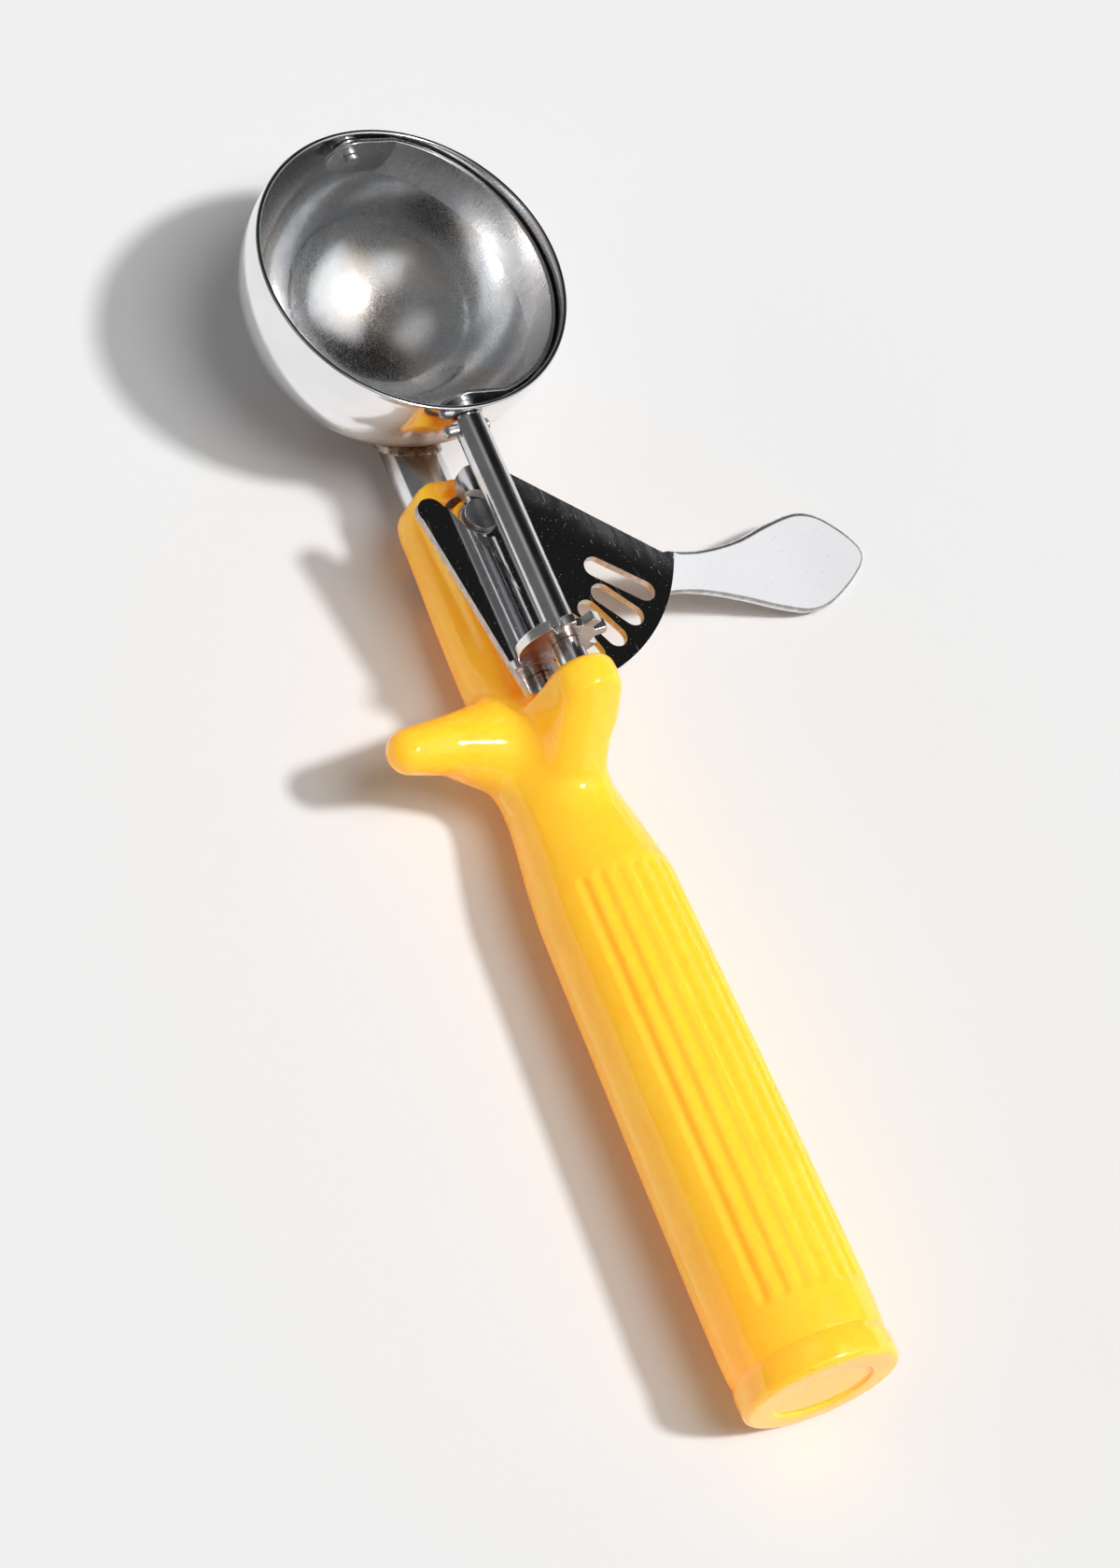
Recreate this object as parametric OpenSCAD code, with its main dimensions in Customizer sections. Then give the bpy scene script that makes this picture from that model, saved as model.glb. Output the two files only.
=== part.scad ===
// Lever ice cream scoop with a thumb plate, a geared rod and a sweeping blade.
// Every piece is drawn in the tool frame and then laid down by rest_pose().
// Tool frame: origin at the centre of the bowl's rim, +X towards the butt of
// the handle, +Y towards the thumb tab, +Z out of the bowl's mouth.

/* [Bowl] */
// Outer radius of the bowl at its rim
bowl_r = 28.5; // [26:0.5:32]
// Wall of the bowl
bowl_wall = 0.9; // [0.7:0.1:1.2]
// Straight band between the rim and the half sphere, down to the rod's axis
bowl_band = 3.7; // [3.4:0.1:4.5]

/* [Blade] */
// Thickness of the scraper blade
blade_t = 0.8; // [0.6:0.1:1]
// Width of the scraper blade
blade_w = 9; // [7:0.5:11]
// Gap between the blade and the bowl
blade_gap = 0.4; // [0.3:0.1:0.6]
// How far the parked blade's middle lies below the rod's axis, in degrees
blade_park = 7; // [5:1:12]
// Diameter of the pin that carries the blade's front ear
ear_pin_d = 1.8; // [1.6:0.1:2.4]
// Diameter of the drive pin at the blade's rear ear
drive_pin_d = 3.2; // [2.8:0.1:3.6]

/* [Rod and pinion] */
// Outer diameter of the rod
rod_d = 5.6; // [5.2:0.1:6]
// Gap between the rod's front end and the bowl
rod_gap = 0.4; // [0.3:0.1:0.8]
// Diameter of the cross pin at the rod's front end
cross_pin_d = 2.2; // [1.6:0.1:2.4]
// Diameter of the journal that turns in the handle's nose
journal_d = 5; // [4.6:0.1:5.4]
// Length of the journal inside the nose
journal_seat = 4.6; // [3.5:0.1:5]
// Distance from the lever's curved edge in to the pinion
pinion_inset = 6.7; // [6.2:0.1:7.4]
// Thickness of the pinion
pinion_t = 1.8; // [1.4:0.1:2.2]
// Radius over the pinion's teeth
pinion_tip_r = 7.3; // [7.1:0.1:7.5]
// Radius at the bottom of the pinion's gaps
pinion_root_r = 5.2; // [4.6:0.1:5.4]
// Width of one tooth
tooth_w = 2.4; // [2:0.1:2.6]

/* [Thumb lever] */
// Distance from the rim's centre to the lever's pivot
pivot_x = 43.5; // [43:0.5:44]
// Sideways place of the lever's pivot
pivot_y = -1; // [-1.5:0.5:-0.5]
// Depth of the lever's top face below the rod's axis
plate_drop = 5.8; // [5.8:0.1:6]
// Thickness of the lever's sheet
plate_t = 1.4; // [1.2:0.1:1.5]
// Radius of the lever's curved edge about the pivot
plate_r = 35.2; // [34.5:0.1:35.4]
// Depth of the dish round the pivot
dish_depth = 1.1; // [1:0.1:1.2]
// Width of one slot
slot_w = 4; // [3.8:0.1:4.1]
// Steel left between two slots at their inner ends
slot_bar = 0.65; // [0.5:0.05:1]
// Steel left between the slots and the lever's curved edge
slot_edge = 2.5; // [2:0.1:3]
// Angle between two slots
slot_pitch = 11; // [10.5:0.25:11.5]
// Angle of the slot that the resting pinion stands in
slot_first = 6.7; // [6.5:0.1:7]
// Length of the thumb paddle
tab_len = 40; // [36:1:42]
// Width of the thumb paddle
tab_w = 17.3; // [15:0.5:18]
// Width of the neck between the lever's plate and the thumb paddle
neck_w = 7.2; // [6.4:0.2:8]
// Tilt of the thumb paddle about its own length
tab_tilt = 22.6; // [20:0.1:24]
// Fall of the thumb paddle along its length
tab_fall = 4.5; // [3:0.1:6]

/* [Spring and rivet] */
// Wire of the return spring
wire_d = 1.1; // [0.9:0.1:1.2]
// Mean radius of the spring's coil
coil_r = 5.35; // [5.2:0.05:5.5]
// Radius of the pivot rivet's head
rivet_head_r = 3.1; // [2.8:0.1:3.4]
// Diameter of the pivot rivet
rivet_d = 3.6; // [3.2:0.1:4]

/* [Shank] */
// Outer diameter of the shank tube
shank_d = 9.8; // [9:0.1:10]
// Wall of the shank tube
shank_wall = 1.2; // [1:0.1:1.5]
// How far the shank reaches into the grip, from the rim's centre
shank_end_x = 132; // [120:1:150]

/* [Handle] */
// Depth of the grip's axis below the rod's axis
grip_drop = 20.3; // [19.8:0.1:20.6]
// Front end of the handle's tongue
tongue_x = 33; // [32.6:0.2:34.2]
// Radius of the tongue near its front end
tongue_r = 7.7; // [7.6:0.1:8.2]
// Radius of the waist behind the nose
waist_r = 9.8; // [9.4:0.1:10.2]
// Radius of the grip near its front
grip_front_r = 12.35; // [12:0.05:12.6]
// Radius of the grip near the butt
grip_rear_r = 13.8; // [13.4:0.1:14.2]
// Where the end cap meets the grip
seam_x = 198; // [190:1:206]
// Height of the tongue's flat top below the rod's axis
tongue_drop = 11.8; // [11.8:0.1:12.2]
// Outer radius of the nose
nose_r = 5.9; // [5.6:0.1:6.2]
// Distance from the pinion to the nose's front face
nose_gap = 5.6; // [5:0.1:6]
// Sideways reach of the finger guard
guard_reach = 30.3; // [28:0.1:33]
// Number of grip grooves on each face
grooves = 7; // [5:1:8]
// Depth of a grip groove
groove_depth = 0.5; // [0.3:0.1:0.6]

/* [End cap] */
// Thickness of the end cap's head
cap_t = 5.5; // [4.5:0.5:7]
// Radius of the recess in the end cap's face
cap_recess_r = 8.8; // [8:0.1:10]
// Depth of that recess
cap_recess_depth = 0.5; // [0.3:0.1:1.5]
// Radius of the end cap's plug
plug_r = 8.9; // [8:0.1:9.5]
// Length of the end cap's plug
plug_len = 12; // [8:1:16]

/* [Rest] */
// Roll of the tool onto its thumb tab as it lies on a table
rest_roll = 14.4; // [0:0.1:16]

/* [Hidden] */
$fn = 64;

eps = 0.01;
run_fit = 0.05;          // radial clearance of a pin that turns in its hole
seat_fit = 0.02;         // radial clearance of a pin that sits tight
face_gap = 0.1;          // axial clearance between faces that slide

// Heights in the tool frame
rod_z = -bowl_band;
plate_z = rod_z - plate_drop;
dish_z = plate_z - dish_depth;
boss_z = dish_z - plate_t - run_fit;
tongue_z = rod_z - tongue_drop;
grip_z = rod_z - grip_drop;

// Blade and its pins
bowl_in_r = bowl_r - bowl_wall;
blade_r = bowl_in_r - blade_gap;
ear_out_x = blade_r - 1.2;
ear_in_x = ear_out_x - blade_t;
spacer_r = 2.3;
// A flat face of the spacer's radius touches the hollow wall this far out
spacer_out_x = sqrt(pow(bowl_in_r, 2) - pow(spacer_r, 2)) - run_fit;
ear_head_r = 1.4;
ear_head_t = 0.9;
ear_cap_r = 2.5;
ear_dome_r = 4.6;
ear_dome_x = ear_dome_r - bowl_r - ear_head_t;
drive_head_r = 2.2;
drive_head_t = 0.7;

// Places along the tool that follow the lever's curved edge
pinion_x = pivot_x + plate_r - pinion_inset;
nose_x = pinion_x + nose_gap;
waist_x = nose_x + 10.4;
grip_x = waist_x + 24;

// Rod line
rod_x = bowl_r + rod_gap;
rod_in_d = drive_pin_d + 2 * seat_fit;
drive_pin_len = 11;
cross_pin_x = rod_x + cross_pin_d / 2 + 0.1;
cross_pin_reach = 5.2;
pinion_front = pinion_x - pinion_t / 2;
pinion_rear = pinion_x + pinion_t / 2;
spigot_d = 3.2;
spigot_len = 12;
journal_end = nose_x + journal_seat;

// Gear: one slot pitch of the lever turns the pinion by one tooth pitch
tooth_count = 5;
tooth_pitch = 45;
mesh_angle = atan(-pivot_y / (pinion_x - pivot_x));
gear_ratio = tooth_pitch / slot_pitch;
tooth_first = (slot_first - mesh_angle) * gear_ratio;
chord_drop = plate_drop - run_fit;
lobe_from = 222;
lobe_shift = 1.5;

// Lever plate, drawn about its pivot
slot_last = slot_first + (tooth_count - 1) * slot_pitch;
slot_out_r = plate_r - slot_edge;
slot_in_r = (slot_w + slot_bar) / (2 * sin(slot_pitch / 2)) - slot_w / 2;
slot_long_in_r = slot_in_r - 3;
upper_edge_a = 51;
upper_edge_off = 10.6;
arc_from = -10;
arc_to = 66;
dish_hole_r = 4.7;
dish_ring_r = 5.8;
ring_r = rivet_head_r + 0.4;
fold_from = 55.5;        // the lever's curved edge turns into the tab between these angles
fold_to = 68;
root_a = 69;
root_out = 0.57;
tab_root = [
    pivot_x + (plate_r + root_out) * cos(root_a),
    pivot_y + (plate_r + root_out) * sin(root_a),
    plate_z - 0.4
];

// Rivet and spring
rivet_head_t = 0.95;
boss_r = coil_r - wire_d / 2 - 0.3;
washer_t = 0.6;
washer_r = 3.2;
tail_r = 2.6;
tail_t = 0.8;
coil_turns = 1.5;
coil_top_z = boss_z - wire_d / 2 - 0.1;
coil_low_z = tongue_z + wire_d / 2 + 0.1;
leg_len = 11;
hook_play = 0.5;

// Shank
shank_r = shank_d / 2;
weld_r = 1.6;
weld_ring_r = shank_r + 0.5;

// Handle
arc_clear = 0.5;         // free space past the lever's curved edge
lever_clear = 0.3;       // free space over and under the lever
socket_depth = plug_len + 1.5;
neck_drop = 1.6;         // how far the waist's middle lies below the grip's axis
neck_tilt = atan(neck_drop / (grip_x - waist_x));
web_x = nose_x + 1.7;
web_r = 9;
web_len = 5.2;
web_top_len = 5.2;
web_foot_x = waist_x + 2;
web_foot_r = 8;
guard_x = nose_x + 2;
guard_tip_r = 4;
guard_mid_r = 5.1;
guard_mid_y = -18.3;
guard_root_r = 8.4;
guard_root_y = -7.5;
guard_z = grip_z + 3.6;
tongue_side = 6.6;       // half width of the tongue's flat top, over its rounded edges
tongue_edge = 2.6;       // radius of those edges
groove_x0 = grip_x - 1;
groove_x1 = seam_x - 9;
groove_r = 1.8;          // the groove is cut by a round rod of this radius
groove_step = 15;

// Rest pose: the bowl, the front of the grip and the thumb tab stand on the table
butt_r = grip_rear_r;
butt_x = seam_x + cap_t;
cap_round = 2.2;
seam_dip = 0.35;         // how far the grip and the cap draw in at their seam
tip_to_table = bowl_r - rod_z * cos(rest_roll);
grip_to_table = grip_front_r - grip_z * cos(rest_roll);
rest_pitch = asin((grip_to_table - tip_to_table) / grip_x);

// The row's origin is the middle of the space that the tool takes up on the table
front_x = bowl_r + ear_head_t;
butt_low = butt_r - cap_round - grip_z * cos(rest_roll);
tab_reach = tab_root[1] + tab_len * cos(tab_fall);
tab_low = tab_root[2] - tab_len * sin(tab_fall) - tab_w / 4 * sin(tab_tilt);
left_reach = tab_reach * cos(rest_roll) + tab_low * sin(rest_roll);
right_reach = (guard_reach - guard_tip_r) * cos(rest_roll) - guard_z * sin(rest_roll) + guard_tip_r;
origin_x = (butt_x * cos(rest_pitch) + butt_low * sin(rest_pitch) - front_x) / 2;
origin_y = (left_reach - right_reach) / 2;

function polar(r, a) = [r * cos(a), r * sin(a)];
function arc(r, from, to, n) = [for (i = [0 : n]) polar(r, from + (to - from) * i / n)];
function shift(points, by) = [for (p = points) p + by];

// Smooth curve through an open row of points
function spline_at(a, b, c, d, t) =
    0.5 * ((2 * b) + (c - a) * t + (2 * a - 5 * b + 4 * c - d) * t * t
    + (3 * b - a - 3 * c + d) * t * t * t);
function open_curve(p, n) = [
    for (i = [0 : len(p) - 2], k = [0 : n - 1])
        spline_at(p[max(i - 1, 0)], p[i], p[i + 1], p[min(i + 2, len(p) - 1)], k / n),
    p[len(p) - 1]
];

// Handle outlines: place along X and radius about the axis of that stretch
tongue_curve = open_curve([
    [tongue_x, tongue_r - 2.9],
    [tongue_x + 0.5, tongue_r - 1.5],
    [tongue_x + 1.8, tongue_r - 0.5],
    [tongue_x + 4.5, tongue_r - 0.05],
    [tongue_x + 8, tongue_r],
    [(tongue_x + waist_x) / 2, tongue_r + 0.8],
    [waist_x, tongue_r + 1.2]
], 4);
neck_curve = open_curve([
    [-6, waist_r - 1],
    [0, waist_r - 0.4],
    [4, waist_r - 0.25],
    [8, waist_r + 0.3],
    [12, waist_r + 0.95],
    [16, waist_r + 1.6],
    [grip_x - waist_x - 3, grip_front_r - 0.3],
    [grip_x - waist_x + 2, grip_front_r]
], 4);
grip_curve = open_curve([
    [grip_x - 3, grip_front_r - 0.35],
    [grip_x, grip_front_r],
    [grip_x + 12, grip_front_r + 0.3],
    [(grip_x + seam_x) / 2, (grip_front_r + grip_rear_r) / 2 + 0.25],
    [seam_x - 10, grip_rear_r],
    [seam_x - 3.5, grip_rear_r - 0.05],
    [seam_x, grip_rear_r - seam_dip]
], 6);
function grip_r_at(x) = lookup(x, grip_curve);

module rest_pose() {
    translate([-origin_x, -origin_y, tip_to_table])
        rotate([-rest_roll, -rest_pitch, 0])
            children();
}

// Rod along X: from x0 to x1 on the rod's axis
module rod_cyl(x0, x1, r) {
    translate([x0, 0, rod_z]) rotate([0, 90, 0]) cylinder(h = x1 - x0, r = r);
}

// Same on the grip's axis
module grip_cyl(x0, x1, r) {
    translate([x0, 0, grip_z]) rotate([0, 90, 0]) cylinder(h = x1 - x0, r = r);
}

// Upright cylinder on the lever's pivot, from z0 up to z1
module pivot_cyl(z0, z1, r) {
    translate([pivot_x, pivot_y, z0]) cylinder(h = z1 - z0, r = r);
}

module bowl() {
    color([0.80, 0.81, 0.82]) rest_pose() difference() {
        union() {
            intersection() {
                translate([0, 0, rod_z]) sphere(r = bowl_r);
                translate([-bowl_r, -bowl_r, rod_z - bowl_r])
                    cube([2 * bowl_r, 2 * bowl_r, bowl_r]);
            }
            translate([0, 0, rod_z]) cylinder(h = bowl_band, r = bowl_r);
        }
        translate([0, 0, rod_z]) sphere(r = bowl_in_r);
        translate([0, 0, rod_z]) cylinder(h = bowl_band + 1, r = bowl_in_r);
        rod_cyl(-bowl_r - 1, -bowl_r / 2, ear_pin_d / 2 + seat_fit);
        rod_cyl(bowl_r / 2, bowl_r + 1, drive_pin_d / 2 + run_fit);
    }
}

// One ear of the blade: a flat plate with a round end on the rod's axis
module blade_ear(side) {
    mirror([side < 0 ? 1 : 0, 0, 0]) translate([ear_in_x, 0, 0]) union() {
        rotate([0, 90, 0]) cylinder(h = blade_t, r = blade_w / 2);
        translate([0, 0, -blade_w / 2]) cube([blade_t, blade_r / 2, blade_w]);
    }
}

module scraper_blade() {
    color([0.72, 0.73, 0.75]) rest_pose() translate([0, 0, rod_z]) rotate([-blade_park, 0, 0]) difference() {
        intersection() {
            sphere(r = blade_r);
            union() {
                difference() {
                    translate([-ear_out_x, 0, -blade_w / 2]) cube([2 * ear_out_x, bowl_r, blade_w]);
                    sphere(r = blade_r - blade_t);
                }
                blade_ear(1);
                blade_ear(-1);
            }
        }
        translate([ear_in_x - 1, 0, 0]) rotate([0, 90, 0])
            cylinder(h = blade_t + 2, r = drive_pin_d / 2 + seat_fit);
        translate([-ear_out_x - 1, 0, 0]) rotate([0, 90, 0])
            cylinder(h = blade_t + 2, r = ear_pin_d / 2 + run_fit);
    }
}

module blade_front_pin() {
    color([0.85, 0.85, 0.86]) rest_pose() union() {
        rod_cyl(-bowl_r - ear_head_t / 2, -ear_in_x + face_gap + eps, ear_pin_d / 2);
        rod_cyl(-ear_in_x + face_gap, -ear_in_x + face_gap + ear_head_t, ear_head_r);
        intersection() {
            translate([ear_dome_x, 0, rod_z]) sphere(r = ear_dome_r);
            rod_cyl(-bowl_r - 2 * ear_head_t, -bowl_r, ear_cap_r);
        }
    }
}

module blade_front_spacer() {
    color([0.78, 0.78, 0.80]) rest_pose() difference() {
        rod_cyl(-spacer_out_x, -ear_out_x - face_gap, spacer_r);
        rod_cyl(-bowl_r, -ear_in_x, ear_pin_d / 2 + seat_fit);
    }
}

module blade_rear_spacer() {
    color([0.78, 0.78, 0.80]) rest_pose() difference() {
        rod_cyl(ear_out_x + seat_fit, spacer_out_x, spacer_r);
        rod_cyl(ear_in_x, bowl_r, drive_pin_d / 2 + seat_fit);
    }
}

module blade_drive_pin() {
    color([0.75, 0.76, 0.78]) rest_pose() difference() {
        union() {
            rod_cyl(ear_in_x - seat_fit - eps, rod_x + drive_pin_len, drive_pin_d / 2);
            rod_cyl(ear_in_x - seat_fit - drive_head_t, ear_in_x - seat_fit, drive_head_r);
        }
        cross_hole();
    }
}

// The hole that the cross pin fills
module cross_hole() {
    translate([cross_pin_x, 0, rod_z]) rotate([90 + blade_park, 0, 0])
        cylinder(h = 3 * rod_d, r = cross_pin_d / 2 + seat_fit, center = true);
}

module drive_rod() {
    color([0.78, 0.79, 0.80]) rest_pose() difference() {
        rod_cyl(rod_x, pinion_front - seat_fit, rod_d / 2);
        rod_cyl(rod_x - 1, pinion_front + 1, rod_in_d / 2);
        cross_hole();
    }
}

module rod_cross_pin() {
    color([0.62, 0.63, 0.65]) rest_pose()
        translate([cross_pin_x, 0, rod_z]) rotate([90 + blade_park, 0, 0]) union() {
            translate([0, 0, -rod_d / 2 - 0.3])
                cylinder(h = rod_d / 2 + 0.3 + cross_pin_reach - cross_pin_d / 2, r = cross_pin_d / 2);
            translate([0, 0, cross_pin_reach - cross_pin_d / 2]) sphere(r = cross_pin_d / 2);
        }
}

// Pinion outline; angles count from straight down towards the thumb tab
module pinion_tooth(a) {
    rotate(a) intersection() {
        translate([0, -tooth_w / 2]) square([pinion_tip_r, tooth_w]);
        circle(r = pinion_tip_r);
    }
}

module pinion_outline() {
    difference() {
        union() {
            circle(r = pinion_root_r);
            intersection() {
                translate([0, -lobe_shift]) circle(r = pinion_tip_r);
                polygon(concat([[0, 0]], arc(3 * pinion_tip_r, lobe_from, 360, 4)));
            }
            for (i = [0 : tooth_count - 1]) pinion_tooth(tooth_first + i * tooth_pitch);
        }
        translate([chord_drop, -2 * pinion_tip_r]) square([pinion_tip_r, 2 * pinion_tip_r]);
        circle(r = spigot_d / 2 + seat_fit);
    }
}

module pinion() {
    color([0.86, 0.86, 0.86]) rest_pose()
        translate([pinion_front, 0, rod_z]) rotate([0, 90, 0]) linear_extrude(height = pinion_t) pinion_outline();
}

module rod_journal() {
    color([0.80, 0.81, 0.82]) rest_pose() union() {
        rod_cyl(pinion_rear + seat_fit, journal_end, journal_d / 2);
        rod_cyl(pinion_front - spigot_len, pinion_rear + 1, spigot_d / 2);
    }
}

// Lever plate seen from above, with its pivot at the origin
module lever_outline() {
    upper = function(along) [
        along * cos(upper_edge_a) - upper_edge_off * sin(upper_edge_a),
        along * sin(upper_edge_a) + upper_edge_off * cos(upper_edge_a)
    ];
    rim = arc(plate_r, arc_from, arc_to, 40);
    polygon(concat([[-2.2, -11.7]], rim, [upper(-2), [-5, -2], [0, -4], [-3, -7.2]]));
    translate([-1.8, -9.2]) circle(r = 2.6);
    translate([-5.3, 1.9]) circle(r = 4.2);
}

module lever_slot(a, r_in) {
    rotate(a) union() {
        translate([r_in + slot_w / 2, 0]) circle(d = slot_w);
        translate([slot_out_r - slot_w / 2, 0]) circle(d = slot_w);
        translate([r_in + slot_w / 2, -slot_w / 2]) square([slot_out_r - r_in - slot_w, slot_w]);
    }
}

// Open side of the dish, between the two lobes
module lever_notch() {
    difference() {
        polygon([[-14, -6.2], [-4, -6.6], [0.6, -4.9], [2.5, -2.6], [0, 0], [-4.4, -1.2], [-6, -2.2], [-14, -2.4]]);
        circle(r = ring_r);
    }
}

// Thumb paddle outline: place along it, half width and sideways place of its middle
tab_half = tab_w / 2;
tab_mid = 4.7;
neck_mid = 3.7;
neck_back = 4.5;         // how far the neck reaches back under the lever's curved edge
tab_curve = open_curve([
    [-neck_back, neck_w / 2, neck_mid],
    [0, neck_w / 2, neck_mid],
    [tab_len * 0.14, neck_w / 2 + 0.2, (neck_mid + tab_mid) / 2],
    [tab_len * 0.33, tab_half * 0.6, tab_mid],
    [tab_len * 0.5, tab_half * 0.84, tab_mid],
    [tab_len * 0.66, tab_half, tab_mid],
    [tab_len * 0.78, tab_half * 0.9, tab_mid],
    [tab_len * 0.9, tab_half * 0.56, tab_mid],
    [tab_len * 0.98, tab_half * 0.22, tab_mid],
    [tab_len, 0, tab_mid]
], 5);
tab_outline = concat(
    [for (p = tab_curve) [p[2] + p[1], p[0]]],
    [for (i = [len(tab_curve) - 2 : -1 : 0]) [tab_curve[i][2] - tab_curve[i][1], tab_curve[i][0]]]
);

module tab_frame() {
    translate(tab_root) rotate([-tab_fall, 0, 0]) rotate([0, tab_tilt, 0])
        translate([0, 0, -plate_t]) children();
}

module thumb_lever() {
    color([0.55, 0.56, 0.58]) rest_pose() union() {
        difference() {
            union() {
                translate([pivot_x, pivot_y, plate_z - plate_t]) linear_extrude(height = plate_t) difference() {
                    lever_outline();
                    circle(r = dish_hole_r);
                    lever_notch();
                    for (i = [0 : tooth_count - 1])
                        lever_slot(slot_first + i * slot_pitch, i == tooth_count - 1 ? slot_long_in_r : slot_in_r);
                }
                translate([pivot_x, pivot_y, dish_z - plate_t]) linear_extrude(height = plate_t) difference() {
                    circle(r = dish_ring_r);
                    lever_notch();
                }
                hull() {
                    translate([pivot_x, pivot_y, plate_z - plate_t])
                        linear_extrude(height = plate_t)
                            polygon([
                                for (r = [plate_r - 1, plate_r]) polar(r, fold_from),
                                for (r = [plate_r, plate_r - 1]) polar(r, fold_to)
                            ]);
                    tab_frame() translate([neck_mid - neck_w / 2, -neck_back, 0]) cube([neck_w, 1.5, plate_t]);
                }
                tab_frame() linear_extrude(height = plate_t) polygon(tab_outline);
            }
            pivot_cyl(dish_z - plate_t - 1, plate_z + 1, rivet_d / 2 + run_fit);
            spring_leg_hole();
        }
    }
}

// The spring's upper leg is bent up through this hole of the lever
module spring_leg_hole() {
    translate([pivot_x + leg_len, pivot_y + coil_r, plate_z - plate_t - 1])
        cylinder(h = plate_t + 2, d = wire_d + hook_play);
}

module pivot_rivet() {
    color([0.25, 0.25, 0.27]) rest_pose() union() {
        pivot_cyl(dish_z + run_fit, dish_z + run_fit + rivet_head_t, rivet_head_r);
        pivot_cyl(rivet_seat_z - washer_t - tail_t, dish_z + 2 * run_fit, rivet_d / 2);
        pivot_cyl(rivet_seat_z - washer_t - tail_t, rivet_seat_z - washer_t - seat_fit, tail_r);
    }
}

rivet_seat_z = grip_z - tongue_r + 1;
module rivet_washer() {
    color([0.70, 0.70, 0.72]) rest_pose() difference() {
        pivot_cyl(rivet_seat_z - washer_t, rivet_seat_z - seat_fit, washer_r);
        pivot_cyl(rivet_seat_z - 5, rivet_seat_z + 1, rivet_d / 2 + seat_fit);
    }
}

// Tube of the wire's radius along a path of points
function unit(v) = v / norm(v);
function along(path, i) = unit(path[min(i + 1, len(path) - 1)] - path[max(i - 1, 0)]);
function side_of(t) = unit(cross(t, abs(t[2]) > 0.9 ? [1, 0, 0] : [0, 0, 1]));
function wire_ring(p, t, r, n) = [
    for (k = [0 : n - 1])
        p + r * cos(360 * k / n) * side_of(t) + r * sin(360 * k / n) * cross(side_of(t), t)
];
module wire(path, r, n = 10) {
    rings = [for (i = [0 : len(path) - 1]) each wire_ring(path[i], along(path, i), r, n)];
    sides = [
        for (i = [0 : len(path) - 2], k = [0 : n - 1])
            each [[i * n + k, i * n + (k + 1) % n, (i + 1) * n + (k + 1) % n],
                  [i * n + k, (i + 1) * n + (k + 1) % n, (i + 1) * n + k]]
    ];
    ends = [[for (k = [n - 1 : -1 : 0]) k], [for (k = [0 : n - 1]) (len(path) - 1) * n + k]];
    polyhedron(points = rings, faces = concat(sides, ends));
}

// Coil from its low end to its top end; both straight legs point to the grip
coil_from = -90;
coil_sweep = -360 * coil_turns;
coil_path = [
    for (i = [0 : 56])
        let (a = coil_from + coil_sweep * i / 56)
            concat(polar(coil_r, a), [coil_low_z + (coil_top_z - coil_low_z) * i / 56])
];

module return_spring() {
    color([0.12, 0.12, 0.13]) rest_pose() translate([pivot_x, pivot_y, 0]) wire(concat(
        [[leg_len, -coil_r, coil_low_z], [leg_len / 2, -coil_r, coil_low_z]],
        coil_path,
        [
            [leg_len / 2, coil_r, coil_top_z],
            [leg_len - wire_d, coil_r, coil_top_z],
            [leg_len - wire_d * 0.3, coil_r, coil_top_z + wire_d * 0.3],
            [leg_len, coil_r, coil_top_z + wire_d],
            [leg_len, coil_r, plate_z + 0.3]
        ]
    ), wire_d / 2);
}

// Shank tube: its front end is coped to the bowl
module shank() {
    color([0.74, 0.75, 0.76]) rest_pose() difference() {
        grip_cyl(0, shank_end_x, shank_r);
        grip_cyl(-1, shank_end_x + 1, shank_r - shank_wall);
        translate([0, 0, rod_z]) sphere(r = bowl_r + seat_fit);
        pivot_cyl(grip_z - shank_d, grip_z + shank_d, rivet_d / 2 + seat_fit);
    }
}

// Weld between the shank's coped end and the bowl
module shank_weld() {
    color([0.55, 0.45, 0.35]) rest_pose() difference() {
        intersection() {
            translate([0, 0, rod_z]) sphere(r = bowl_r + weld_r);
            grip_cyl(0, shank_end_x, weld_ring_r);
        }
        translate([0, 0, rod_z]) sphere(r = bowl_r + seat_fit);
        grip_cyl(-1, shank_end_x + 1, shank_r + seat_fit);
    }
}

// Upper part of the tongue: flat on top, with rounded edges and a round end
module tongue_top() {
    side = tongue_side - tongue_edge;
    high = tongue_z - grip_z - tongue_edge;
    intersection() {
        translate([0, 0, grip_z]) linear_extrude(height = tongue_z - grip_z)
            polygon(concat(
                [for (p = tongue_curve) [p[0], -p[1]]],
                [for (i = [len(tongue_curve) - 1 : -1 : 0]) [tongue_curve[i][0], tongue_curve[i][1]]]
            ));
        translate([tongue_x - 1, 0, grip_z]) rotate([90, 0, 90]) linear_extrude(height = waist_x - tongue_x)
            polygon(concat(
                [[-tongue_side, 0], [tongue_side, 0]],
                shift(arc(tongue_edge, 0, 90, 8), [side, high]),
                shift(arc(tongue_edge, 90, 180, 8), [-side, high])
            ));
    }
}

module nose() {
    round = 2.2;
    translate([nose_x, 0, rod_z]) rotate([0, 90, 0]) rotate_extrude()
        polygon(concat(
            [[0, 0]],
            [for (i = [0 : 6]) [nose_r - round + round * sin(15 * i), round - round * cos(15 * i)]],
            [[nose_r, 4.4], [nose_r - 0.6, 6], [nose_r - 3, 7.6], [0, 8]]
        ));
}

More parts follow.
